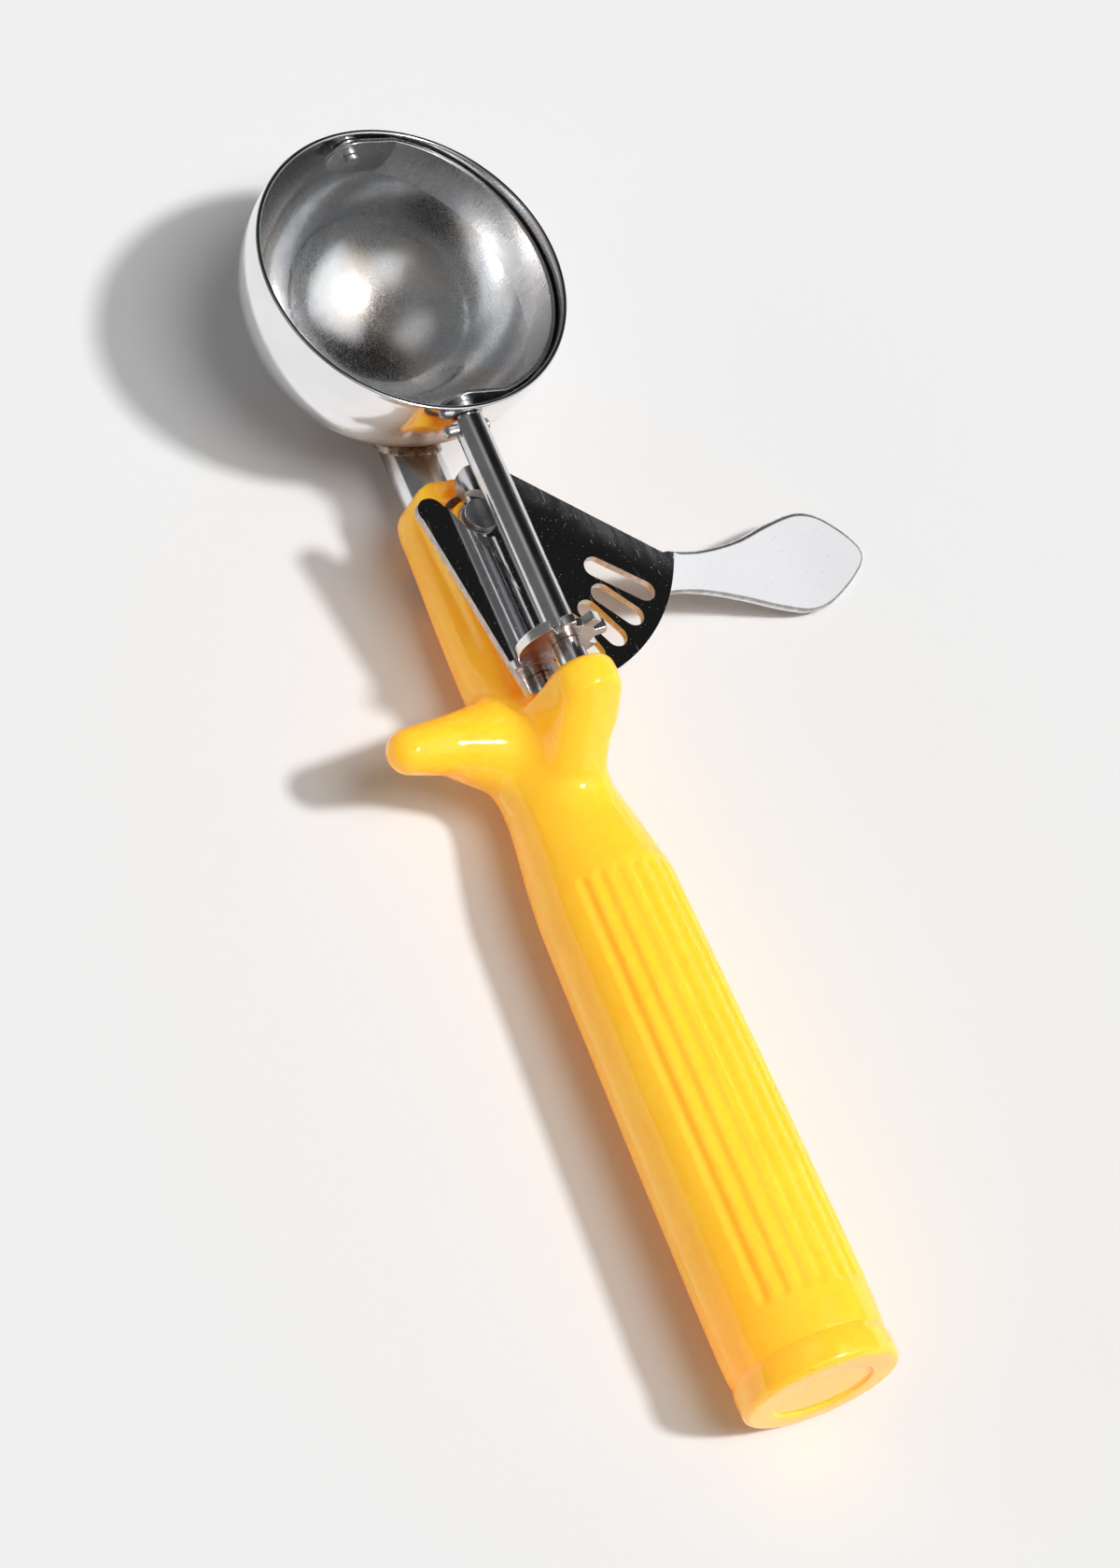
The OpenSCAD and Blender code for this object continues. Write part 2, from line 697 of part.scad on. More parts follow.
// Finger guard: three balls of growing size, from the tip to the root
module guard() {
    tip = [guard_x, guard_tip_r - guard_reach, guard_z];
    mid = [guard_x, guard_mid_y, guard_z - 0.5];
    root = [guard_x + 1.2, guard_root_y, guard_z - 2];
    hull() {
        translate(tip) sphere(r = guard_tip_r, $fn = 32);
        translate(mid) sphere(r = guard_mid_r, $fn = 32);
    }
    hull() {
        translate(mid) sphere(r = guard_mid_r, $fn = 32);
        translate(root) sphere(r = guard_root_r, $fn = 32);
    }
}

module grip_grooves() {
    length = groove_x1 - groove_x0;
    rise = atan((grip_r_at(groove_x1) - grip_r_at(groove_x0)) / length);
    for (face = [0, 180], i = [0 : grooves - 1])
        translate([0, 0, grip_z]) rotate([face + (i - (grooves - 1) / 2) * groove_step, 0, 0])
            translate([groove_x0, 0, grip_r_at(groove_x0) + groove_r - groove_depth])
                rotate([0, 90 - rise, 0]) {
                    cylinder(h = length, r = groove_r, $fn = 32);
                    sphere(r = groove_r, $fn = 32);
                    translate([0, 0, length]) sphere(r = groove_r, $fn = 32);
                }
}

// Solid turned about Z from a row of [height, radius]
module turned(curve) {
    rotate_extrude() polygon(concat(
        [[0, curve[0][0]]],
        [for (p = curve) [p[1], p[0]]],
        [[0, curve[len(curve) - 1][0]]]
    ));
}

// Web that carries the nose over the waist
module web() {
    hull() {
        translate([nose_x + 0.8, 0, rod_z]) rotate([0, 90, 0])
            cylinder(h = web_top_len, r = nose_r - 0.25, $fn = 32);
        translate([web_x, 0, grip_z]) rotate([0, 90, 0]) cylinder(h = web_len, r = web_r, $fn = 32);
        translate([web_foot_x, 0, grip_z]) sphere(r = web_foot_r, $fn = 32);
    }
}

module handle() {
    color([0.98, 0.74, 0.10]) rest_pose() difference() {
        union() {
            translate([0, 0, grip_z]) rotate([0, 90, 0]) turned(tongue_curve);
            translate([waist_x, 0, grip_z - neck_drop]) rotate([0, 90 - neck_tilt, 0]) turned(neck_curve);
            translate([0, 0, grip_z]) rotate([0, 90, 0]) turned(grip_curve);
            tongue_top();
            nose();
            web();
            guard();
            pivot_cyl(tongue_z - eps, boss_z, boss_r);
        }
        // Room for the lever's curved edge between tongue and nose
        difference() {
            pivot_cyl(tongue_z, plate_z + lever_clear, plate_r + arc_clear);
            pivot_cyl(tongue_z - 1, boss_z, boss_r);
        }
        rod_cyl(nose_x - 1, journal_end + 0.5, journal_d / 2 + run_fit);
        grip_cyl(tongue_x - 1, shank_end_x + 0.5, shank_r + seat_fit);
        grip_cyl(seam_x - socket_depth, seam_x + 1, plug_r + run_fit);
        pivot_cyl(grip_z - tongue_r - 5, boss_z + 1, rivet_d / 2 + seat_fit);
        pivot_cyl(grip_z - tongue_r - 5, rivet_seat_z, washer_r + seat_fit);
        grip_grooves();
    }
}

module end_cap() {
    color([0.98, 0.74, 0.10]) rest_pose()
        translate([seam_x, 0, grip_z]) rotate([0, 90, 0]) rotate_extrude()
            polygon(concat(
                [
                    [0, -plug_len], [plug_r, -plug_len], [plug_r, seat_fit],
                    [butt_r - seam_dip, seat_fit], [butt_r - 0.1, 0.6], [butt_r, 1.4]
                ],
                [for (i = [0 : 6]) [
                    butt_r - cap_round + cap_round * cos(15 * i),
                    cap_t - cap_round + cap_round * sin(15 * i)
                ]],
                [
                    [cap_recess_r, cap_t],
                    [cap_recess_r - 0.3, cap_t - cap_recess_depth],
                    [0, cap_t - cap_recess_depth]
                ]
            ));
}

bowl();
scraper_blade();
blade_front_pin();
blade_front_spacer();
blade_rear_spacer();
blade_drive_pin();
drive_rod();
rod_cross_pin();
pinion();
rod_journal();
thumb_lever();
pivot_rivet();
rivet_washer();
return_spring();
shank();
shank_weld();
handle();
end_cap();
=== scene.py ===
import bpy
import math
import numpy as np
from mathutils import Vector, Matrix, Euler


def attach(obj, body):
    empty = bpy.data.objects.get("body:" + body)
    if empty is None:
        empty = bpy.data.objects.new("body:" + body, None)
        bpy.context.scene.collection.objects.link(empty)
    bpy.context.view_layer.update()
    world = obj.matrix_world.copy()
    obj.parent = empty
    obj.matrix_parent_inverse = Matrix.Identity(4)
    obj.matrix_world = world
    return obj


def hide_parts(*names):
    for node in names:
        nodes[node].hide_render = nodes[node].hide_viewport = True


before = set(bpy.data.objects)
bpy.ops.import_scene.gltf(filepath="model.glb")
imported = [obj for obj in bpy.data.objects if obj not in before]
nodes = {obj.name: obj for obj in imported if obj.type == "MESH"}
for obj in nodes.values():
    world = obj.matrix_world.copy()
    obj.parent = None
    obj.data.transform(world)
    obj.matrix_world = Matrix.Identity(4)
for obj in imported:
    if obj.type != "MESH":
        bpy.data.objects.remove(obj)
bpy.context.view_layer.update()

print("frame loaded:", len(nodes), "solids")

# The scoop's own frame: origin at the bowl's rim, +X to the butt, +Y to the thumb tab
toolPlace = Vector((-0.08754633, -0.01589874, 0.03208376))
toolTurn = Euler((math.radians(-14.4), math.radians(-1.797), 0.0), 'XYZ')
toolMatrix = Matrix.LocRotScale(toolPlace, toolTurn, None)
mm = 0.001
rodZ = -3.7
gripZ = -24.0


def fromTool(x, y, z):
    return toolMatrix @ Vector((x * mm, y * mm, z * mm))


# small helpers for the modelling
def pick(obj):
    if bpy.context.mode != 'OBJECT':
        bpy.ops.object.mode_set(mode='OBJECT')
    bpy.ops.object.select_all(action='DESELECT')
    obj.select_set(True)
    bpy.context.view_layer.objects.active = obj


def openEdit(obj, kind='VERT', select='DESELECT'):
    pick(obj)
    bpy.ops.object.mode_set(mode='EDIT')
    bpy.ops.mesh.select_mode(type=kind)
    bpy.ops.mesh.select_all(action=select)


def closeEdit():
    bpy.ops.object.mode_set(mode='OBJECT')


def selectVerts(obj, test):
    bpy.ops.object.mode_set(mode='OBJECT')
    for v in obj.data.vertices:
        v.select = bool(test(v.co / mm))
    bpy.ops.object.mode_set(mode='EDIT')


def selectEdges(obj, test):
    openEdit(obj, 'EDGE')
    closeEdit()
    for e in obj.data.edges:
        e.select = bool(test(e))
    bpy.ops.object.mode_set(mode='EDIT')


def applyModifiers(obj):
    pick(obj)
    for modifier in list(obj.modifiers):
        bpy.ops.object.modifier_apply(modifier=modifier.name)


def layDown(obj):
    # from the scoop's own frame to its place on the table
    pick(obj)
    obj.location = toolPlace
    obj.rotation_euler = toolTurn
    bpy.ops.object.transform_apply(location=True, rotation=True, scale=True)


def smoothBy(obj, degrees, weigh=False):
    pick(obj)
    bpy.ops.object.shade_smooth_by_angle(angle=math.radians(degrees), keep_sharp_edges=False)
    if weigh:                                       # big flat faces stay flat beside their rounded edges
        even = obj.modifiers.new("flatFaces", 'WEIGHTED_NORMAL')
        even.mode = 'FACE_AREA'
        even.weight = 50
        even.keep_sharp = True
        applyModifiers(obj)


def copyOf(node, name):
    # a merged copy of a solid, free to be reworked
    obj = nodes[node].copy()
    obj.data = nodes[node].data.copy()
    obj.name = name
    obj.data.name = name
    for key in [k for k in obj.keys() if k.startswith("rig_")]:
        del obj[key]
    bpy.context.scene.collection.objects.link(obj)
    obj.parent = None
    pick(obj)
    if obj.data.has_custom_normals:
        bpy.ops.mesh.customdata_custom_splitnormals_clear()
    openEdit(obj, 'VERT', 'SELECT')
    bpy.ops.mesh.remove_doubles(threshold=2e-6)
    closeEdit()
    return obj


def flattenFaces(obj, degrees=0.6):
    openEdit(obj, 'EDGE', 'SELECT')
    bpy.ops.mesh.dissolve_limited(angle_limit=math.radians(degrees))
    closeEdit()


def bevelEdges(obj, width, segments=2, angle=32):
    bevel = obj.modifiers.new("edgeRound", 'BEVEL')
    bevel.width = width * mm
    bevel.segments = segments
    bevel.limit_method = 'ANGLE'
    bevel.angle_limit = math.radians(angle)
    bevel.harden_normals = False
    applyModifiers(obj)


def finishPiece(obj, materials, body, stands):
    obj.data.materials.clear()
    for m in materials:
        obj.data.materials.append(m)
    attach(obj, body)
    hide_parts(stands)


def turnProfile(name, profile, steps):
    # a row of (along X, radius) in mm, drawn point by point and spun about X
    bpy.ops.object.select_all(action='DESELECT')
    bpy.ops.mesh.primitive_plane_add(size=0.001)
    obj = bpy.context.active_object
    obj.name = name
    obj.data.name = name
    openEdit(obj, 'VERT', 'SELECT')
    bpy.ops.mesh.merge(type='CENTER')
    last = Vector((0, 0, 0))
    for i, (along, radius) in enumerate(profile):
        here = Vector((along * mm, 0, radius * mm))
        if i == 0:
            bpy.ops.transform.translate(value=here - last)
        else:
            bpy.ops.mesh.extrude_vertices_move(TRANSFORM_OT_translate={"value": here - last})
        last = here
    bpy.ops.mesh.select_all(action='SELECT')
    bpy.ops.mesh.spin(steps=steps, angle=2 * math.pi, center=(0, 0, 0), axis=(1, 0, 0))
    bpy.ops.mesh.select_all(action='SELECT')
    bpy.ops.mesh.remove_doubles(threshold=1e-6)
    bpy.ops.mesh.normals_make_consistent(inside=False)
    closeEdit()
    return obj


# surface effects that several materials share
def newGroup(name, inputs, outputs):
    group = bpy.data.node_groups.new(name, 'ShaderNodeTree')
    for label, kind, value in inputs:
        socket = group.interface.new_socket(name=label, in_out='INPUT', socket_type=kind)
        if value is not None:
            socket.default_value = value
    for label, kind in outputs:
        group.interface.new_socket(name=label, in_out='OUTPUT', socket_type=kind)
    return group, group.nodes.new('NodeGroupInput'), group.nodes.new('NodeGroupOutput')


def mathNode(tree, kind, a, b=None, clamp=False):
    n = tree.nodes.new('ShaderNodeMath')
    n.operation = kind
    n.use_clamp = clamp
    for i, v in enumerate([a, b]):
        if v is None:
            continue
        if isinstance(v, (int, float)):
            n.inputs[i].default_value = v
        else:
            tree.links.new(v, n.inputs[i])
    return n.outputs[0]


def vectorNode(tree, kind, vector, second=None):
    n = tree.nodes.new('ShaderNodeVectorMath')
    n.operation = kind
    tree.links.new(vector, n.inputs[0])
    if second is not None:
        n.inputs[1].default_value = second
    return n


def distanceTo(tree, spot, point):
    return vectorNode(tree, 'DISTANCE', spot, point).outputs['Value']


def splitAxes(tree, vector):
    n = tree.nodes.new('ShaderNodeSeparateXYZ')
    tree.links.new(vector, n.inputs[0])
    return n.outputs


def fedBy(shader, label):
    return shader.inputs[label].links[0].from_socket


def stretched(tree, vector, turn, scale):
    n = tree.nodes.new('ShaderNodeMapping')
    n.inputs['Rotation'].default_value = [math.radians(a) for a in turn]
    n.inputs['Scale'].default_value = scale
    tree.links.new(vector, n.inputs['Vector'])
    return n.outputs[0]


def noiseOn(tree, vector, scale, detail=2.0, rough=0.5, distortion=0.0):
    n = tree.nodes.new('ShaderNodeTexNoise')
    n.inputs['Detail'].default_value = detail
    n.inputs['Roughness'].default_value = rough
    n.inputs['Distortion'].default_value = distortion
    if isinstance(scale, (int, float)):
        n.inputs['Scale'].default_value = scale
    else:
        tree.links.new(scale, n.inputs['Scale'])
    tree.links.new(vector, n.inputs['Vector'])
    return n.outputs['Fac']


def remap(tree, value, low, high, toLow=0.0, toHigh=1.0):
    n = tree.nodes.new('ShaderNodeMapRange')
    n.interpolation_type = 'SMOOTHSTEP'
    for i, v in enumerate([value, low, high, toLow, toHigh]):
        if isinstance(v, (int, float)):
            n.inputs[i].default_value = v
        else:
            tree.links.new(v, n.inputs[i])
    return n.outputs[0]


scratchPattern = {
    "bendScale": 0.12, "bend": 2.4, "sparse": 0.84, "dense": 0.64, "fade": 0.06, "stretch": (0.05, 7.0, 7.0),
    "turns": [(20, 35, 12), (70, -20, 64), (-35, 60, 118), (110, 10, 160)],
}


def makeScratches():
    # fine lines in several directions, a little bent
    s = scratchPattern
    g, gin, gout = newGroup("fineScratches", [
        ("Vector", 'NodeSocketVector', None), ("Density", 'NodeSocketFloat', 0.5),
        ("Scale", 'NodeSocketFloat', 1.0)], [("Mask", 'NodeSocketFloat')])
    scaled = vectorNode(g, 'SCALE', gin.outputs['Vector'])
    g.links.new(gin.outputs['Scale'], scaled.inputs['Scale'])
    bendNoise = g.nodes.new('ShaderNodeTexNoise')
    bendNoise.inputs['Scale'].default_value = s["bendScale"]
    bendNoise.inputs['Detail'].default_value = 1
    g.links.new(scaled.outputs[0], bendNoise.inputs['Vector'])
    bent = vectorNode(g, 'MULTIPLY_ADD', bendNoise.outputs['Color'], (s["bend"],) * 3)
    g.links.new(scaled.outputs[0], bent.inputs[2])
    floorLevel = remap(g, gin.outputs['Density'], 0.0, 1.0, s["sparse"], s["dense"])
    top = mathNode(g, 'ADD', floorLevel, s["fade"])
    total = None
    for turn in s["turns"]:
        lines = noiseOn(g, stretched(g, bent.outputs[0], turn, s["stretch"]), 1.0, 1.0, 0.6)
        mask = remap(g, lines, floorLevel, top)
        total = mask if total is None else mathNode(g, 'MAXIMUM', total, mask)
    g.links.new(total, gout.inputs['Mask'])
    return g


def makeSpeckles():
    # small round pits and specks of uneven size
    g, gin, gout = newGroup("speckles", [
        ("Vector", 'NodeSocketVector', None), ("Scale", 'NodeSocketFloat', 1.5),
        ("Size", 'NodeSocketFloat', 0.12), ("Share", 'NodeSocketFloat', 0.3)], [("Mask", 'NodeSocketFloat')])
    cells = g.nodes.new('ShaderNodeTexVoronoi')
    g.links.new(gin.outputs['Vector'], cells.inputs['Vector'])
    g.links.new(gin.outputs['Scale'], cells.inputs['Scale'])
    pickOne = g.nodes.new('ShaderNodeSeparateColor')
    g.links.new(cells.outputs['Color'], pickOne.inputs[0])
    chosen = mathNode(g, 'LESS_THAN', pickOne.outputs[0], gin.outputs['Share'])
    radius = mathNode(g, 'MULTIPLY', gin.outputs['Size'], pickOne.outputs[1])
    inner = mathNode(g, 'MULTIPLY', radius, 0.5)
    dot = remap(g, cells.outputs['Distance'], inner, radius, 1.0, 0.0)
    g.links.new(mathNode(g, 'MULTIPLY', dot, chosen), gout.inputs['Mask'])
    return g


def makeClouds():
    # broad uneven patches
    g, gin, gout = newGroup("clouds", [
        ("Vector", 'NodeSocketVector', None), ("Scale", 'NodeSocketFloat', 0.1),
        ("Low", 'NodeSocketFloat', 0.35), ("High", 'NodeSocketFloat', 0.65)], [("Value", 'NodeSocketFloat')])
    n = noiseOn(g, gin.outputs['Vector'], gin.outputs['Scale'], 3.0, 0.55, 0.4)
    g.links.new(remap(g, n, gin.outputs['Low'], gin.outputs['High']), gout.inputs['Value'])
    return g


scratchGroup = makeScratches()
speckleGroup = makeSpeckles()
cloudGroup = makeClouds()


def placeGroup(tree, group, vector, **values):
    n = tree.nodes.new('ShaderNodeGroup')
    n.node_tree = group
    tree.links.new(vector, n.inputs['Vector'])
    for label, value in values.items():
        n.inputs[label].default_value = value
    return n.outputs[0]


def startMaterial(name):
    mat = bpy.data.materials.new(name)
    mat.use_nodes = True
    tree = mat.node_tree
    shader = tree.nodes['Principled BSDF']
    coords = tree.nodes.new('ShaderNodeTexCoord')
    place = tree.nodes.new('ShaderNodeMapping')
    place.vector_type = 'TEXTURE'
    place.inputs['Location'].default_value = toolPlace
    place.inputs['Rotation'].default_value = toolTurn
    place.inputs['Scale'].default_value = (mm, mm, mm)
    tree.links.new(coords.outputs['Object'], place.inputs['Vector'])
    return mat, tree, shader, place.outputs[0]


def blendColours(tree, mask, a, b):
    n = tree.nodes.new('ShaderNodeMix')
    n.data_type = 'RGBA'
    tree.links.new(mask, n.inputs['Factor'])
    for i, v in [(6, a), (7, b)]:
        if isinstance(v, tuple):
            n.inputs[i].default_value = (*v, 1.0)
        else:
            tree.links.new(v, n.inputs[i])
    return n.outputs[2]


def weighted(tree, base, parts):
    # base + sum of value * weight
    total = base
    for value, weight in parts:
        total = mathNode(tree, 'ADD', mathNode(tree, 'MULTIPLY', value, weight), total)
    return total


def addBump(tree, shader, height, distance):
    n = tree.nodes.new('ShaderNodeBump')
    n.inputs['Strength'].default_value = 1.0
    n.inputs['Distance'].default_value = distance * mm
    tree.links.new(height, n.inputs['Height'])
    tree.links.new(n.outputs[0], shader.inputs['Normal'])


def steel(name, look):
    mat, tree, shader, spot = startMaterial(name)
    grain = noiseOn(tree, stretched(tree, spot, (0, 0, 0), look["grainScale"]), 1.0, 3.0, 0.65)
    clouds = placeGroup(tree, cloudGroup, spot, Scale=look["cloudScale"])
    scratches = placeGroup(tree, scratchGroup, spot, Density=look["scratchDensity"],
                           Scale=look["scratchScale"])
    specks = placeGroup(tree, speckleGroup, spot, Scale=look["speckScale"], Size=look["speckSize"],
                        Share=look["speckShare"])
    colour = blendColours(tree, clouds, look["colour"], look["patchColour"])
    colour = blendColours(tree, specks, colour, look["speckColour"])
    rough = weighted(tree, look["rough"], [(grain, look["grainRough"]), (clouds, look["cloudRough"]),
                                           (scratches, look["scratchRough"]), (specks, look["speckRough"])])
    height = weighted(tree, 0.0, [(grain, look["grainHeight"]), (scratches, -look["scratchHeight"]),
                                  (specks, -look["speckHeight"])])
    tree.links.new(colour, shader.inputs['Base Color'])
    tree.links.new(rough, shader.inputs['Roughness'])
    shader.inputs['Metallic'].default_value = 1.0
    addBump(tree, shader, height, look["bump"])
    return mat, tree, shader, spot


plainSteel = {
    "colour": (0.86, 0.86, 0.87), "patchColour": (0.78, 0.78, 0.79), "speckColour": (0.95, 0.95, 0.95),
    "grainScale": (0.12, 6.0, 6.0), "cloudScale": 0.12, "scratchDensity": 0.35, "scratchScale": 1.0,
    "speckScale": 1.2, "speckSize": 0.14, "speckShare": 0.12,
    "rough": 0.10, "grainRough": 0.10, "cloudRough": 0.06, "scratchRough": 0.15, "speckRough": 0.15,
    "grainHeight": 0.5, "scratchHeight": 0.6, "speckHeight": 0.4, "bump": 0.002,
}


# the bowl
bowlShape = {
    "outerRadius": 28.5, "wall": 0.9, "band": 3.7, "bandStep": 1.2, "rimRound": 0.34, "rimSegments": 4,
    "segments": 192, "rings": 96, "frontHole": 0.92, "rearHole": 1.65, "holeSides": 48, "holeDepth": 12.0,
    "rimEdge": 0.25, "smooth": 40,
}
bowlInsideLook = {
    "ringPitch": 5.0, "turnPitch": 2.2, "depthPitch": 3.0, "gritScale": 8.0, "gritFrom": 0.48, "gritTo": 0.60,
    "clouds": {"Scale": 0.16}, "fineClouds": {"Scale": 1.1},
    "stain": {"Scale": 0.07, "Low": 0.44, "High": 0.70},
    "scratches": {"Density": 0.75, "Scale": 0.9}, "crossing": {"Density": 0.55, "Scale": 0.4},
    "specks": {"Scale": 1.0, "Size": 0.12, "Share": 0.22},
    "colour": (0.80, 0.81, 0.82), "patchColour": (0.66, 0.68, 0.71), "stainColour": (0.73, 0.66, 0.60),
    "speckColour": (0.9, 0.9, 0.9),
    "rough": 0.012, "gritRough": 0.24, "swirlRough": 0.03, "cloudRough": 0.05, "fineRough": 0.04,
    "scratchRough": 0.12, "crossRough": 0.08,
    "swirlHeight": 0.9, "scratchHeight": 0.4, "crossHeight": 0.3, "speckHeight": 0.3, "bump": 0.0022,
}
# heat tint by the weld, widened and darkened to also paint a dim reflection of the handle
heatTintAndReflection = {
    "at": (20.0, 0.0, -23.0), "wobbleScale": 0.35, "wobble": 5.0, "strawFrom": 13.0, "strawTo": 24.0,
    "brownFrom": 11.0, "brownTo": 18.0, "straw": (0.66, 0.57, 0.46), "brown": (0.36, 0.27, 0.20), "dull": 0.5,
}


def bowlInsideFinish():
    # circular polishing marks run round the axis, coarse scuffs cross them
    mat, tree, shader, spot = startMaterial("bowlInsideSteel")
    s = bowlInsideLook
    x, y, z = splitAxes(tree, spot)
    ring = mathNode(tree, 'SQRT', mathNode(tree, 'ADD', mathNode(tree, 'MULTIPLY', x, x),
                                           mathNode(tree, 'MULTIPLY', y, y)))
    around = mathNode(tree, 'ARCTAN2', y, x)
    polar = tree.nodes.new('ShaderNodeCombineXYZ')
    for i, (value, pitch) in enumerate([(ring, "ringPitch"), (around, "turnPitch"), (z, "depthPitch")]):
        tree.links.new(mathNode(tree, 'MULTIPLY', value, s[pitch]), polar.inputs[i])
    swirl = noiseOn(tree, polar.outputs[0], 1.0, 3.0, 0.7)
    clouds = placeGroup(tree, cloudGroup, spot, **s["clouds"])
    fineClouds = placeGroup(tree, cloudGroup, spot, **s["fineClouds"])
    scratches = placeGroup(tree, scratchGroup, spot, **s["scratches"])
    crossing = placeGroup(tree, scratchGroup, spot, **s["crossing"])
    specks = placeGroup(tree, speckleGroup, spot, **s["specks"])
    stain = placeGroup(tree, cloudGroup, spot, **s["stain"])
    colour = blendColours(tree, clouds, s["colour"], s["patchColour"])
    colour = blendColours(tree, stain, colour, s["stainColour"])
    colour = blendColours(tree, specks, colour, s["speckColour"])
    # half of the surface still mirrors sharply, half is scuffed dull, too fine to tell apart
    grit = remap(tree, noiseOn(tree, spot, s["gritScale"], 2.0, 0.6), s["gritFrom"], s["gritTo"])
    rough = weighted(tree, s["rough"], [(grit, s["gritRough"]), (swirl, s["swirlRough"]),
                                        (clouds, s["cloudRough"]), (fineClouds, s["fineRough"]),
                                        (scratches, s["scratchRough"]), (crossing, s["crossRough"])])
    height = weighted(tree, 0.0, [(swirl, s["swirlHeight"]), (scratches, -s["scratchHeight"]),
                                  (crossing, -s["crossHeight"]), (specks, -s["speckHeight"])])
    tree.links.new(colour, shader.inputs['Base Color'])
    tree.links.new(rough, shader.inputs['Roughness'])
    shader.inputs['Metallic'].default_value = 1.0
    addBump(tree, shader, height, s["bump"])
    return mat


def bowlOutsideFinish():
    # polished, with straw and brown heat tint above the weld, spread wide and dark enough to also paint the
    # dim reflection of the shaded handle there
    look = dict(plainSteel, colour=(0.90, 0.90, 0.91), patchColour=(0.86, 0.86, 0.87), rough=0.04,
                grainRough=0.06, grainScale=(0.1, 0.1, 5.0), bump=0.0015, scratchDensity=0.3)
    mat, tree, shader, spot = steel("bowlOutsideSteel", look)
    s = heatTintAndReflection
    wobble = noiseOn(tree, spot, s["wobbleScale"], 3.0, 0.6)
    spread = weighted(tree, distanceTo(tree, spot, s["at"]), [(wobble, s["wobble"])])
    straw = remap(tree, spread, s["strawFrom"], s["strawTo"], 1.0, 0.0)
    brown = remap(tree, spread, s["brownFrom"], s["brownTo"], 1.0, 0.0)
    tinted = blendColours(tree, straw, fedBy(shader, 'Base Color'), s["straw"])
    tinted = blendColours(tree, brown, tinted, s["brown"])
    tree.links.new(tinted, shader.inputs['Base Color'])
    dull = weighted(tree, fedBy(shader, 'Roughness'), [(straw, s["dull"])])
    tree.links.new(dull, shader.inputs['Roughness'])
    return mat


def buildBowl():
    s = bowlShape
    bpy.ops.object.select_all(action='DESELECT')
    bpy.ops.mesh.primitive_uv_sphere_add(segments=s["segments"], ring_count=s["rings"],
                                         radius=s["outerRadius"] * mm, location=(0, 0, rodZ * mm))
    obj = bpy.context.active_object
    bpy.ops.object.transform_apply(location=True, rotation=True, scale=True)
    obj.name = "bowlShell"
    openEdit(obj, 'VERT')
    selectVerts(obj, lambda p: p.z > rodZ + 0.01)
    bpy.ops.mesh.delete(type='VERT')
    bpy.ops.mesh.select_mode(type='EDGE')
    bpy.ops.mesh.select_non_manifold()
    for lift in [s["bandStep"], s["band"] - s["bandStep"]]:     # straight band above the half sphere
        bpy.ops.mesh.extrude_region_move(TRANSFORM_OT_translate={"value": (0, 0, lift * mm)})
    bpy.ops.mesh.select_all(action='SELECT')
    bpy.ops.mesh.normals_make_consistent(inside=False)
    closeEdit()
    wall = obj.modifiers.new("wall", 'SOLIDIFY')
    wall.thickness = s["wall"] * mm
    wall.offset = -1
    wall.use_even_offset = True
    applyModifiers(obj)

    # rounded rim
    def onRim(edge):
        a, b = [obj.data.vertices[i].co / mm for i in edge.vertices]
        return min(a.z, b.z) > -0.01 and abs(math.hypot(a.x, a.y) - math.hypot(b.x, b.y)) < 0.1

    selectEdges(obj, onRim)
    bpy.ops.mesh.bevel(offset=s["rimRound"] * mm, segments=s["rimSegments"], affect='EDGES')
    closeEdit()

    # holes for the blade's pins
    for x, r in [(-s["outerRadius"], s["frontHole"]), (s["outerRadius"], s["rearHole"])]:
        bpy.ops.object.select_all(action='DESELECT')
        bpy.ops.mesh.primitive_cylinder_add(vertices=s["holeSides"], radius=r * mm, depth=s["holeDepth"] * mm,
                                            location=(x * mm, 0, rodZ * mm), rotation=(0, math.pi / 2, 0))
        cutter = bpy.context.active_object
        bpy.ops.object.transform_apply(location=True, rotation=True, scale=True)
        cut = obj.modifiers.new("pinHole", 'BOOLEAN')
        cut.operation = 'DIFFERENCE'
        cut.solver = 'EXACT'
        cut.object = cutter
        applyModifiers(obj)
        bpy.data.objects.remove(cutter)

    # inside and outside are finished differently
    inside, outside = bowlInsideFinish(), bowlOutsideFinish()
    layDown(obj)
    finishPiece(obj, [inside, outside], "frame", "bowl")
    axis = toolTurn.to_matrix() @ Vector((0, 0, 1))
    middle = fromTool(0, 0, rodZ)
    limit = (s["outerRadius"] - s["wall"] * 0.5) * mm
    for f in obj.data.polygons:
        d = f.center - middle
        high = d.dot(axis)
        reach = (d - axis * high).length if high > 0 else d.length
        f.material_index = 0 if reach < limit and high < (s["band"] - s["rimEdge"]) * mm else 1
    smoothBy(obj, s["smooth"])


buildBowl()
print("bowl made")


